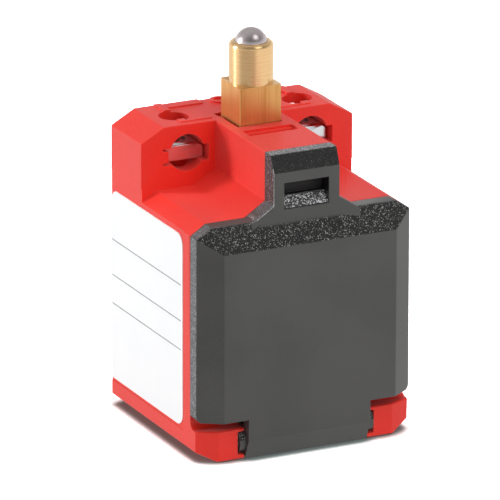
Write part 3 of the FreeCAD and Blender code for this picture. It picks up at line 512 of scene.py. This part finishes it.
@dataclass(frozen=True)
class CoverMoulding(Finish):
    """The cover's plastic: satin faces, dark coarse bands, and painted glints and painted light
    on sides and ramp.

    A tilt is how far a surface faces upwards, from 0 on a wall to 1 on a floor.
    """

    name: str = "grey_cover"
    colour: Colour = (0.05, 0.0495, 0.047)
    drift: Colour = (0.072, 0.071, 0.068)
    # The pale colour of the highlight painted along sharp edges, and the white one painted on the
    # tab's front left edge
    edge: Colour = (0.2, 0.2, 0.2)
    edge_highlight_colour: Colour = (1.0, 1.0, 1.0)
    roughness: float = 0.36
    gloss_spread: Pair = (0.05, 0.06)
    grain_scale: float = 4200.0
    grain_share: float = 0.1
    pit_depth: float = 0.05 * MM
    # How wide the painted edge highlight reaches, and how strongly it is painted
    edge_width: float = 0.2 * MM
    highlight_strength: float = 0.5
    # The bands' flecks are painted glints, bright below the tab and dim on it
    band: Skin = Skin((0.006, 0.006, 0.0055), (0.5, 0.5, 0.48), 8000.0, 0.15, 0.6)
    tab_band: Skin = Skin((0.005, 0.005, 0.0045), (0.08, 0.08, 0.078), 8000.0, 0.17, 0.62)
    # The sides are painted lighter where the key light falls on them, with painted glints
    side: Skin = Skin((0.085, 0.084, 0.086), (0.38, 0.38, 0.4), 7600.0, 0.32, 0.5)
    # The tab's left face has painted glints on a dark ground
    tab_side: Skin = Skin((0.02, 0.018, 0.019), (0.42, 0.38, 0.4), 6400.0, 0.24, 0.45)
    # The slopes are painted lighter where light falls on them, with painted glints
    slope: Skin = Skin((0.075, 0.074, 0.077), (0.24, 0.24, 0.25), 7600.0, 0.32, 0.5)
    # The ramp's bright flecks are painted glints
    ramp: Skin = Skin((0.03, 0.03, 0.03), (0.6, 0.6, 0.61), 5600.0, 0.36, 0.35)
    # The tab's upper face is painted lighter as a sheen, with painted glints
    top: Skin = Skin((0.13, 0.13, 0.135), (0.5, 0.5, 0.52), 6500.0, 0.36, 0.5)
    # The window's pocket is painted a reddish near black as shade
    painted_shade_pocket: Skin = Skin((0.004, 0.002, 0.002), (0.01, 0.004, 0.004), 3000.0, 0.2, 0.6)
    band_tilt: Window = (0.25, 0.33, 0.6, 0.64)
    ramp_tilt: Window = (0.66, 0.68, 0.71, 0.74)
    slope_tilt: Window = (0.78, 0.81, 0.9, 0.93)
    top_tilt: Pair = (0.93, 0.96)
    leftward: Pair = (-0.9, -0.97)
    side_from: float = 7.8 * MM
    tab_from: float = 44.0 * MM
    # Where the white edge highlight is painted on the tab: left of and in front of these
    tab_edge: Pair = (-6.2 * MM, -16.9 * MM)
    # Where the window's pocket is painted dark as shade: half width, front, lowest and highest
    hollow_room: Window = (4.4 * MM, -17.2 * MM, 47.38 * MM, 50.25 * MM)

    def masks(self, graph: Graph) -> dict[str, bpy.types.NodeSocket]:
        """Where each skin lies, told by the way that the surface faces and by its height; painted
        light and glints follow it.

        Args:
            graph: the material's graph.

        Returns:
            A mask for each skin, by the skin's name.
        """
        facing = graph.add("ShaderNodeTexCoord").outputs["Normal"]
        parts = graph.add("ShaderNodeSeparateXYZ", {"Vector": facing})
        tilt = parts.outputs["Z"]
        height = graph.axis("Z")
        on_tab = graph.math("GREATER_THAN", height, self.tab_from)
        below = graph.math("SUBTRACT", 1.0, on_tab)
        band = graph.window(tilt, self.band_tilt)
        leftward = graph.span(parts.outputs["X"], *self.leftward)
        half, front, low, high = self.hollow_room
        return {
            "band": graph.product(band, below),
            "tab_band": graph.product(band, on_tab),
            "side": graph.product(leftward, below,
                                  graph.math("GREATER_THAN", height, self.side_from)),
            "tab_side": graph.product(leftward, on_tab),
            "slope": graph.window(tilt, self.slope_tilt),
            "ramp": graph.window(tilt, self.ramp_tilt),
            "top": graph.product(graph.span(tilt, *self.top_tilt), on_tab),
            "painted_shade_pocket": graph.product(
                graph.math("LESS_THAN", graph.math("ABSOLUTE", graph.axis("X")), half),
                graph.math("GREATER_THAN", graph.axis("Y"), front),
                graph.math("GREATER_THAN", height, low),
                graph.math("LESS_THAN", height, high)),
        }

    def tab_edge_highlight(self, graph: Graph) -> Feed:
        """The white highlight painted along the tab's front left corner.

        Args:
            graph: the material's graph.

        Returns:
            Its mask.
        """
        left, front = self.tab_edge
        return graph.product(graph.math("LESS_THAN", graph.axis("X"), left),
                             graph.math("LESS_THAN", graph.axis("Y"), front),
                             graph.math("GREATER_THAN", graph.axis("Z"), self.tab_from))

    def material(self, effects: Effects) -> bpy.types.Material:
        """Make the cover's material.

        Args:
            effects: the shared node groups.

        Returns:
            The material.
        """
        material, graph, shader = self.start()
        grain = graph.group(effects.grain, {"Scale": self.grain_scale})
        colour = graph.tint(self.mottle(graph, grain), self.colour, self.drift)
        rough = self.uneven(graph, grain, self.roughness, self.gloss_spread)
        height = graph.product(grain.outputs["Height"], self.grain_share)
        # Each skin lays its ground and painted glints, with painted light or painted shade, over
        # the faces it masks
        for label, mask in self.masks(graph).items():
            skin: Skin = getattr(self, label)
            pits_and_glints = graph.group(effects.eroded, {"Scale": skin.scale, "Amount": skin.amount})
            glinting_skin = graph.tint(pits_and_glints.outputs["Glint"], skin.pit, skin.glint)
            colour = graph.tint(mask, colour, glinting_skin)
            rough = graph.blend(mask, rough, skin.roughness)
            height = graph.blend(mask, height, pits_and_glints.outputs["Height"])
        # Paint the pale highlight along sharp edges, stronger and white on the tab's front left
        # edge
        edge_highlight_mask = graph.group(effects.edges, {"Width": self.edge_width}).outputs["Mask"]
        tab_edge_highlight = self.tab_edge_highlight(graph)
        strength = graph.product(edge_highlight_mask, graph.math("ADD", self.highlight_strength, tab_edge_highlight))
        edge = graph.tint(tab_edge_highlight, self.edge, self.edge_highlight_colour)
        graph.feed(shader.inputs["Base Color"], graph.tint(strength, colour, edge))
        graph.feed(shader.inputs["Roughness"], rough)
        self.bump(graph, shader, height, self.pit_depth)
        return material


@dataclass(frozen=True)
class Metal(Finish):
    """A metal with a mottled surface."""

    name: str
    colour: Colour
    drift: Colour
    roughness: float = 0.25
    spread: float = 0.08
    relief: float = 0.004 * MM
    scale: float = 1500.0

    def material(self, effects: Effects) -> bpy.types.Material:
        """Make the metal's material.

        Args:
            effects: the shared node groups.

        Returns:
            The material.
        """
        material, graph, shader = self.start()
        surface = graph.group(effects.grain, {"Scale": self.scale})
        tone = graph.span(surface.outputs["Tone"], *NOISE_MIDDLE)
        graph.feed(shader.inputs["Base Color"], graph.tint(tone, self.colour, self.drift))
        graph.feed(shader.inputs["Roughness"],
                   self.uneven(graph, surface, self.roughness, (self.spread, self.spread)))
        shader.inputs["Metallic"].default_value = 1.0
        self.bump(graph, shader, surface.outputs["Height"], self.relief)
        return material


@dataclass(frozen=True)
class LinedMetal(Finish):
    """A metal with fine tool lines, along Z on a drawn bar or round it where it is turned."""

    name: str
    colour: Colour
    drift: Colour
    roughness: float = 0.2
    spread: float = 0.06
    line_scale: float = 2600.0
    across: float = 1.0
    along: float = 0.03
    relief: float = 0.0006 * MM
    gloss_tones: Pair = (0.3, 0.7)
    stretch: float = 0.0
    stretch_turn: float = 0.25

    def material(self, effects: Effects) -> bpy.types.Material:
        """Make the metal's material.

        Args:
            effects: the shared node groups.

        Returns:
            The material.
        """
        material, graph, shader = self.start()
        lines = graph.group(effects.lines, {"Scale": self.line_scale, "Across": self.across,
                                            "Along": self.along})
        tone = lines.outputs["Tone"]
        graph.feed(shader.inputs["Base Color"],
                   graph.tint(graph.span(tone, *NOISE_MIDDLE), self.colour, self.drift))
        graph.feed(shader.inputs["Roughness"],
                   graph.span(tone, *self.gloss_tones, self.roughness - self.spread,
                              self.roughness + self.spread))
        shader.inputs["Metallic"].default_value = 1.0
        shader.inputs["Anisotropic"].default_value = self.stretch
        shader.inputs["Anisotropic Rotation"].default_value = self.stretch_turn
        self.bump(graph, shader, lines.outputs["Height"], self.relief)
        return material


@dataclass(frozen=True)
class PrintedFilm(Finish):
    """The white label film with its thin printed rules."""

    name: str = "label_film"
    film: Colour = (0.96, 0.97, 0.98)
    drift: Colour = (0.94, 0.95, 0.965)
    ink: Colour = (0.07, 0.08, 0.08)
    rule_heights: tuple[float, ...] = (31.5 * MM, 24.8 * MM, 19.4 * MM)
    rule_width: float = 0.2 * MM
    rule_fade: Pair = (0.62, 0.38)
    ink_strength: float = 0.85
    front_margin: float = 0.65 * MM
    grain_scale: float = 2200.0
    grain_drift: float = 90.0
    roughness: float = 0.34
    gloss_spread: Pair = (0.04, 0.04)
    relief: float = 0.002 * MM

    def material(self, effects: Effects) -> bpy.types.Material:
        """Make the film's material.

        Args:
            effects: the shared node groups.

        Returns:
            The material.
        """
        material, graph, shader = self.start()
        grain = graph.group(effects.grain,
                            {"Scale": self.grain_scale, "Drift": self.grain_drift})
        tone = graph.span(grain.outputs["Tone"], *NOISE_MIDDLE)
        paper = graph.tint(tone, self.film, self.drift)
        outside, inside = (self.rule_width * share for share in self.rule_fade)
        height = graph.axis("Z")
        rules: Feed = 0.0
        for rule in self.rule_heights:
            offset = graph.math("ABSOLUTE", graph.math("SUBTRACT", height, rule))
            rules = graph.math("MAXIMUM", rules, graph.span(offset, outside, inside))
        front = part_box("side_label")[0].y + self.front_margin
        behind = graph.math("GREATER_THAN", graph.axis("Y"), front)
        inked = graph.product(rules, behind, self.ink_strength)
        graph.feed(shader.inputs["Base Color"], graph.tint(inked, paper, self.ink))
        graph.feed(shader.inputs["Roughness"],
                   self.uneven(graph, grain, self.roughness, self.gloss_spread))
        self.bump(graph, shader, grain.outputs["Height"], self.relief)
        return material


# ---------------------------------------------------------------- modelling


def select_only(obj: bpy.types.Object) -> None:
    """Make one object the only selected and the active one.

    Args:
        obj: the object.
    """
    bpy.ops.object.select_all(action="DESELECT")
    obj.select_set(True)
    bpy.context.view_layer.objects.active = obj


def face_room(edge: bmesh.types.BMEdge) -> float:
    """How far the smaller of an edge's two faces reaches from the edge.

    Args:
        edge: an edge between two faces.

    Returns:
        The distance in metres.
    """
    start = edge.verts[0].co
    along = (edge.verts[1].co - start).normalized()
    reaches = []
    for face in edge.link_faces:
        offsets = (corner.co - start for corner in face.verts)
        reaches.append(max((offset - along * offset.dot(along)).length for offset in offsets))
    return min(reaches)


def merged_copy(node: str, name: str) -> bpy.types.Object:
    """Copy a CAD node, merge its doubled corners and make each flat face one face.

    Args:
        node: the CAD node that is copied.
        name: the new piece's name.

    Returns:
        The new piece, in the node's place, active and in edit mode with nothing selected.
    """
    piece = bpy.data.objects.new(name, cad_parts[node].data.copy())
    bpy.context.scene.collection.objects.link(piece)
    select_only(piece)
    bpy.ops.object.mode_set(mode="EDIT")
    bpy.ops.mesh.select_mode(type="EDGE")
    bpy.ops.mesh.select_all(action="SELECT")
    bpy.ops.mesh.remove_doubles(threshold=MERGE_REACH)
    bpy.ops.mesh.dissolve_limited(angle_limit=FLAT_ANGLE)
    bpy.ops.mesh.customdata_custom_splitnormals_clear()
    bpy.ops.mesh.mark_sharp(clear=True)
    bpy.ops.mesh.select_all(action="DESELECT")
    return piece


def shade(piece: bpy.types.Object) -> None:
    """Shade the active piece smoothly, with its flat faces flat and its corners sharp.

    Args:
        piece: the piece, in edit mode.
    """
    bpy.ops.object.mode_set(mode="OBJECT")
    bpy.ops.object.shade_smooth_by_angle(angle=SMOOTH_ANGLE)
    bpy.ops.object.modifier_add(type="WEIGHTED_NORMAL")
    piece.modifiers[-1].keep_sharp = True
    bpy.ops.object.modifier_apply(modifier=piece.modifiers[-1].name)


def softened_copy(node: str, name: str, width: float, spared: Callable[[Vector], bool],
                  shortest: float = 0.8 * MM, segments: int = 2) -> bpy.types.Object:
    """Copy a CAD node and round its sharp outer edges.

    Args:
        node: the CAD node that is copied.
        name: the new piece's name.
        width: how far the rounding reaches from each edge.
        spared: says whether the edge at a place keeps its sharp corner.
        shortest: the shortest edge that is rounded.
        segments: faces across each rounding.

    Returns:
        The new piece, in the node's place.
    """
    piece = merged_copy(node, name)
    mesh = bmesh.from_edit_mesh(piece.data)
    for edge in mesh.edges:
        sharp = (len(edge.link_faces) == 2 and edge.is_convex
                 and edge.calc_face_angle() > SHARP_ANGLE)
        middle = (edge.verts[0].co + edge.verts[1].co) / 2
        edge.select_set(sharp and edge.calc_length() > shortest
                        and face_room(edge) > ROOM_PER_WIDTH * width and not spared(middle))
    bmesh.update_edit_mesh(piece.data)
    bpy.ops.mesh.bevel(offset=width, segments=segments, profile=0.5, clamp_overlap=False)
    shade(piece)
    return piece


# ---------------------------------------------------------------- the switch


@dataclass
class Wardrobe:
    """Every finish of the switch, by the record's material slot."""

    effects: Effects
    made: dict[str, bpy.types.Material] = field(default_factory=dict)
    finishes: dict[str, Finish] = field(default_factory=lambda: {
        "red_polyamide": Moulding("red_moulding", (0.86, 0.018, 0.0045), (0.77, 0.012, 0.003),
                                  (0.88, 0.11, 0.07), roughness=0.5, sheen=0.13,
                                  grain=Grain.MEDIUM),
        "grey_polyamide": CoverMoulding(),
        "black_rubber": Moulding("black_rubber", (0.02, 0.02, 0.02), (0.026, 0.026, 0.026),
                                 (0.05, 0.05, 0.05), roughness=0.7, grain=Grain.MEDIUM),
        "label_film": PrintedFilm(),
        "zinc_plated_steel": Metal("zinc_plate", (0.76, 0.77, 0.79), (0.7, 0.71, 0.73), 0.22,
                                   0.03, relief=0.0005 * MM, scale=900.0),
        "brass": LinedMetal("drawn_brass", (0.74, 0.43, 0.155), (0.62, 0.32, 0.095), 0.4, 0.04),
        "turned_brass": LinedMetal("turned_brass", (0.9, 0.61, 0.31), (0.84, 0.54, 0.26), 0.27,
                                   0.04, line_scale=14000.0, across=0.02, along=1.0,
                                   relief=0.006 * MM, stretch=0.8),
        # The ball's pink tint is a painted reflection of the red housing
        "ball_steel": Metal("ball_steel", (0.61, 0.54, 0.55), (0.53, 0.47, 0.48), 0.28, 0.03,
                            relief=0.0003 * MM),
        "cream_polyamide": Moulding("cream_moulding", (0.76, 0.71, 0.57), (0.7, 0.65, 0.5),
                                    (0.85, 0.81, 0.7)),
        "bronze_strip": Metal("bronze_strip", (0.72, 0.42, 0.24), (0.6, 0.33, 0.18), 0.3),
        "silver": Metal("silver_face", (0.88, 0.87, 0.84), (0.7, 0.69, 0.66), 0.3),
        "spring_steel": Metal("spring_wire", (0.5, 0.5, 0.52), (0.38, 0.38, 0.41), 0.26),
        "black_thermoset": Moulding("black_thermoset", (0.025, 0.025, 0.027),
                                    (0.034, 0.034, 0.036), (0.09, 0.09, 0.09), roughness=0.5),
    })

    def cloth(self, slot: str) -> bpy.types.Material:
        """Find a finish's material, and make it the first time.

        Args:
            slot: the record's material slot, or the finish's own name.

        Returns:
            The material.
        """
        if slot not in self.made:
            self.made[slot] = self.finishes[slot].material(self.effects)
        return self.made[slot]

    def dress_node(self, node: str, slot: str) -> None:
        """Give a CAD node its finish.

        Args:
            node: the CAD node.
            slot: the finish.
        """
        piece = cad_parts[node]
        for material_slot in piece.material_slots:
            material_slot.material = self.cloth(slot)
        LOG.info("dressed %s in %s", node, slot)

    def dress_piece(self, piece: bpy.types.Object, slot: str, body: str, node: str) -> None:
        """Dress a new piece that stands for a CAD node and rides on its body.

        Args:
            piece: the new piece.
            slot: the record's material slot.
            body: the body that it moves with.
            node: the CAD node that it replaces.
        """
        piece.data.materials.clear()
        piece.data.materials.append(self.cloth(slot))
        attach(piece, body)
        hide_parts(node)
        LOG.info("built %s for %s in %s", piece.name, node, slot)


@dataclass
class Casing:
    """The red housing with its label and the stored nuts.

    Edges keep their sharp corner where no one sees them or where two of them lie too close.
    """

    edge_width: float = 0.2 * MM
    nut_edge_width: float = 0.3 * MM
    chamber_half: float = 19.7 * MM
    chamber_depth: Pair = (-13.65 * MM, 17.7 * MM)
    chamber_height: Pair = (0.9 * MM, 43.0 * MM)
    guide_half: float = 5.2 * MM
    guide_back: float = 12.0 * MM
    notch_across: Pair = (13.0 * MM, 15.4 * MM)
    notch_back: float = -16.8 * MM
    notch_top: float = 4.0 * MM
    side_from: float = 20.5 * MM
    recess_foot: Pair = (4.3 * MM, 4.9 * MM)
    recess_head: Pair = (41.5 * MM, 44.3 * MM)
    head_top: float = 55.0 * MM
    back_from: float = 17.5 * MM
    hole_lines: Pair = (-11.9 * MM, 12.6 * MM)
    hole_depth: float = 12.15 * MM
    hole_rim: float = 3.4 * MM

    def spared(self, place: Vector) -> bool:
        """Whether the edge at a place keeps its sharp corner.

        Args:
            place: the middle of the edge.

        Returns:
            True in the wiring chamber, in the plunger's guide and at the tight corners.
        """
        across, depth, height = abs(place.x), place.y, place.z

        def between(value: float, limits: Pair) -> bool:
            """Whether a value lies between two limits."""
            return limits[0] < value < limits[1]

        chamber = (across < self.chamber_half and between(depth, self.chamber_depth)
                   and between(height, self.chamber_height))
        guide = across < self.guide_half and between(depth, (0.0, self.guide_back))
        notch = (between(across, self.notch_across) and depth < self.notch_back
                 and height < self.notch_top)
        recess_ends = across > self.side_from and (between(height, self.recess_foot)
                                                   or between(height, self.recess_head))
        at_hole = any(math.hypot(place.x - line, depth - self.hole_depth) < self.hole_rim
                      for line in self.hole_lines)
        rims = height > self.head_top and (at_hole or depth > self.back_from)
        return chamber or guide or notch or recess_ends or rims

    def build(self, wardrobe: Wardrobe) -> None:
        """Model the housing and the nuts with rounded edges.

        Args:
            wardrobe: the finishes of the switch.
        """
        shell = softened_copy("housing", "housing_shell", self.edge_width, self.spared)
        wardrobe.dress_piece(shell, "red_polyamide", "housing", "housing")
        nuts = softened_copy("mounting_nuts", "stored_nuts", self.nut_edge_width,
                             lambda place: False)
        wardrobe.dress_piece(nuts, "zinc_plated_steel", "housing", "mounting_nuts")

    def dress(self, wardrobe: Wardrobe) -> None:
        """Dress the label."""
        wardrobe.dress_node("side_label", "label_film")


@dataclass
class FrontCover:
    """The hinged cover and its gasket."""

    edge_width: float = 0.2 * MM

    def build(self, wardrobe: Wardrobe) -> None:
        """Model the cover with rounded edges.

        Args:
            wardrobe: the finishes of the switch.
        """
        shell = softened_copy("cover", "cover_shell", self.edge_width, lambda place: False)
        wardrobe.dress_piece(shell, "grey_polyamide", "front_cover", "cover")

    def dress(self, wardrobe: Wardrobe) -> None:
        """Dress the gasket."""
        wardrobe.dress_node("cover_gasket", "black_rubber")


@dataclass
class PlungerUnit:
    """The brass plunger, its ball, clip, seal and return spring."""

    turned_from: float = 62.2 * MM

    def build(self, wardrobe: Wardrobe) -> None:
        """Model the plunger: a drawn bar below and a turned stem above.

        Args:
            wardrobe: the finishes of the switch.
        """
        bar = merged_copy("plunger", "plunger_bar")
        shade(bar)
        wardrobe.dress_piece(bar, "brass", "plunger_slide", "plunger")
        bar.data.materials.append(wardrobe.cloth("turned_brass"))
        select_only(bar)
        bpy.ops.object.mode_set(mode="EDIT")
        bpy.ops.mesh.select_all(action="DESELECT")
        mesh = bmesh.from_edit_mesh(bar.data)
        for face in mesh.faces:
            face.select_set(face.calc_center_median().z > self.turned_from)
        bmesh.update_edit_mesh(bar.data)
        bar.active_material_index = 1
        bpy.ops.object.material_slot_assign()
        bpy.ops.object.mode_set(mode="OBJECT")

    def dress(self, wardrobe: Wardrobe) -> None:
        """Dress the other pieces of the plunger."""
        wardrobe.dress_node("plunger_ball", "ball_steel")
        wardrobe.dress_node("plunger_clip", "zinc_plated_steel")
        wardrobe.dress_node("plunger_seal", "black_rubber")
        wardrobe.dress_node("return_spring", "spring_steel")


@dataclass
class ContactUnit:
    """The contact block with its bridges, springs and terminals."""

    slots: dict[str, str] = field(default_factory=lambda: {
        "contact_block": "black_thermoset", "contact_block_back": "black_thermoset",
        "contact_carrier": "cream_polyamide", "block_screws": "zinc_plated_steel",
        "clamp_plates": "zinc_plated_steel", "terminal_screws": "zinc_plated_steel",
        "fixed_contact_tips": "silver", "nc_bridge": "bronze_strip",
        "nc_bridge_tips": "silver", "no_bridge": "bronze_strip", "no_bridge_tips": "silver",
        "nc_contact_spring": "spring_steel", "no_contact_spring": "spring_steel",
        "terminal_nc_left": "brass", "terminal_nc_right": "brass",
        "terminal_no_left": "brass", "terminal_no_right": "brass",
    })

    def dress(self, wardrobe: Wardrobe) -> None:
        """Dress every piece inside the housing."""
        for node, slot in self.slots.items():
            wardrobe.dress_node(node, slot)


# ---------------------------------------------------------------- studio


@dataclass(frozen=True)
class Softbox:
    """A rectangular lamp that faces the switch."""

    name: str
    azimuth: float
    elevation: float
    distance: float
    width: float
    height: float
    power: float
    colour: Colour = (1.0, 1.0, 1.0)

    def build(self, target: Vector) -> None:
        """Place the lamp.

        Args:
            target: the point that the lamp faces.
        """
        turn, lift = math.radians(self.azimuth), math.radians(self.elevation)
        direction = Vector((math.sin(turn) * math.cos(lift), -math.cos(turn) * math.cos(lift),
                            math.sin(lift)))
        lamp = bpy.data.lights.new(self.name, "AREA")
        lamp.shape = "RECTANGLE"
        lamp.size, lamp.size_y = self.width, self.height
        lamp.energy = self.power
        lamp.color = self.colour
        holder = bpy.data.objects.new(self.name, lamp)
        bpy.context.scene.collection.objects.link(holder)
        holder.location = target + direction * self.distance
        holder.rotation_euler = (-direction).to_track_quat("-Z", "Y").to_euler()
        LOG.info("lamp %s", self.name)


@dataclass
class Studio:
    """A pale floor, soft light and the camera.

    Light falls from the lamps and from a dim surround with a bright patch above and one in
    front. Metal mirrors a surround that darkens upwards.
    """

    target: Vector = field(default_factory=lambda: Vector((0.0, 0.0, 0.03)))
    lamps: tuple[Softbox, ...] = (
        Softbox("left_softbox", -116.0, 13.0, 0.8, 0.13, 0.3, 4.0),
        Softbox("high_softbox", 27.0, 54.0, 1.0, 0.45, 0.45, 1.2),
    )
    floor_half: float = 3.0
    floor_tone: float = 0.65
    floor_shown: Colour = (2.1, 2.1, 2.1)
    contact_shown: Colour = (0.29, 0.35, 0.34)
    contact_reach: float = 2.1 * MM
    contact_curve: float = 2.0
    open_half: float = 0.5
    mirror_level: float = 1.0
    mirror_corner: float = 0.5
    corner_ends: Pair = (30.0 * MM, -50.0 * MM)
    mirrored_lift: Pair = (0.05, 0.5)
    mirrored_front: Pair = (0.2, -0.6)
    mirrored_drop: float = 0.45
    front_drop: float = 0.35
    fill_level: float = 0.05
    fill_above: float = 2.2
    above_lift: Pair = (0.75, 1.0)
    fill_front: float = 1.7
    front_aim: tuple[float, float, float] = (0.203, -0.957, 0.208)
    front_nearness: Pair = (0.6, 0.95)
    view_yaw: float = 26.061
    view_pitch: float = 18.707
    view_roll: float = 0.127
    view_point: tuple[float, float, float] = (0.0, -1.05 * MM, 30.0 * MM)
    view_shift: tuple[float, float] = (2.814 * MM, -2.164 * MM)
    view_distance: float = 1383.15 * MM
    view_end: float = 20.0
    lens: float = 558.44

    def build_floor(self) -> None:
        """Lay a pale floor that is white to the camera and in mirrors, and keeps the shadow.

        The contact shadow is full where a share of open_half of the sky is open, or less.
        """
        bpy.ops.object.select_all(action="DESELECT")
        bpy.ops.mesh.primitive_plane_add(size=2 * self.floor_half)
        floor = bpy.context.active_object
        floor.name = "studio_floor"
        material = bpy.data.materials.new("studio_floor")
        material.use_nodes = True
        graph = Graph(material.node_tree)
        graph.tree.nodes.clear()
        path = graph.add("ShaderNodeLightPath")
        contact = graph.add("ShaderNodeAmbientOcclusion", {"Distance": self.contact_reach},
                            samples=8)
        clear = graph.math("SUBTRACT", contact.outputs["AO"], self.open_half)
        clear = graph.math("DIVIDE", graph.math("MAXIMUM", clear, 0.0), 1.0 - self.open_half)
        clear = graph.math("POWER", clear, self.contact_curve)
        shown = graph.tint(clear, self.contact_shown, self.floor_shown)
        tone = (self.floor_tone, self.floor_tone, self.floor_tone)
        colour = graph.tint(path.outputs["Is Camera Ray"], tone, shown)
        paper = graph.add("ShaderNodeBsdfDiffuse", {"Color": colour})
        corner = graph.product(*(graph.span(graph.axis(name), *self.corner_ends)
                                 for name in ("X", "Y")))
        level = graph.blend(corner, self.mirror_level, self.mirror_corner)
        glow = graph.add("ShaderNodeEmission", {"Color": WHITE, "Strength": level})
        mirrored = graph.math("MAXIMUM", path.outputs["Is Glossy Ray"],
                              path.outputs["Is Transmission Ray"])
        both = graph.add("ShaderNodeMixShader", {"Fac": mirrored})
        graph.feed(both.inputs[1], paper.outputs[0])
        graph.feed(both.inputs[2], glow.outputs[0])
        sheet = graph.add("ShaderNodeOutputMaterial")
        graph.feed(sheet.inputs["Surface"], both.outputs[0])
        floor.data.materials.append(material)

    def build_world(self) -> None:
        """Make the surround: white to the camera, a gradient in mirrors, soft fill elsewhere."""
        world = bpy.data.worlds.new("studio")
        bpy.context.scene.world = world
        world.use_nodes = True
        graph = Graph(world.node_tree)
        graph.tree.nodes.clear()
        aim = graph.add("ShaderNodeTexCoord").outputs["Generated"]
        parts = graph.add("ShaderNodeSeparateXYZ", {"Vector": aim})
        lift = graph.span(parts.outputs["Z"], *self.mirrored_lift)
        front = graph.span(parts.outputs["Y"], *self.mirrored_front)
        level = graph.math("SUBTRACT", 1.0, graph.product(lift, self.mirrored_drop))
        level = graph.math("SUBTRACT", level, graph.product(lift, front, self.front_drop))
        ahead = graph.add("ShaderNodeVectorMath", {"Vector": aim}, operation="DOT_PRODUCT")
        graph.feed(ahead.inputs[1], self.front_aim)
        above = graph.span(parts.outputs["Z"], *self.above_lift, self.fill_level,
                           self.fill_level + self.fill_above)
        fill = graph.math("ADD", above, graph.span(ahead.outputs["Value"], *self.front_nearness,
                                                   0.0, self.fill_front))
        path = graph.add("ShaderNodeLightPath")
        level = graph.blend(path.outputs["Is Glossy Ray"], fill, level)
        level = graph.blend(path.outputs["Is Camera Ray"], level, 1.0)
        surround = graph.add("ShaderNodeBackground", {"Color": WHITE, "Strength": level})
        end = graph.add("ShaderNodeOutputWorld")
        graph.feed(end.inputs["Surface"], surround.outputs[0])

    def build_camera(self) -> None:
        """Place the camera, a long way off with a long lens."""
        yaw, pitch, roll = (math.radians(angle)
                            for angle in (self.view_yaw, self.view_pitch, self.view_roll))
        forward = Vector((math.sin(yaw) * math.cos(pitch), math.cos(yaw) * math.cos(pitch),
                          -math.sin(pitch)))
        level = Vector((math.cos(yaw), -math.sin(yaw), 0.0))
        upright = level.cross(forward)
        right = level * math.cos(roll) + upright * math.sin(roll)
        up = upright * math.cos(roll) - level * math.sin(roll)
        place = (Vector(self.view_point) - right * self.view_shift[0] - up * self.view_shift[1]
                 - forward * self.view_distance)
        camera = bpy.data.objects.new("camera", bpy.data.cameras.new("camera"))
        bpy.context.scene.collection.objects.link(camera)
        turn = Matrix((right, up, -forward)).transposed()
        camera.matrix_world = Matrix.Translation(place) @ turn.to_4x4()
        camera.data.lens = self.lens
        camera.data.clip_end = self.view_end
        bpy.context.scene.camera = camera

    def build(self) -> None:
        """Set up the whole studio."""
        self.build_floor()
        self.build_world()
        for lamp in self.lamps:
            lamp.build(self.target)
        self.build_camera()
        bpy.context.scene.view_settings.view_transform = "Standard"


def main() -> None:
    """Build and dress the switch, then light it."""
    logging.basicConfig(level=logging.INFO)
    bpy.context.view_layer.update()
    wardrobe = Wardrobe(Effects())
    modelled = (Casing(), FrontCover(), PlungerUnit())
    for unit in modelled:
        unit.build(wardrobe)
    for unit in (*modelled, ContactUnit()):
        unit.dress(wardrobe)
    Studio().build()


if __name__ == "__main__":
    main()
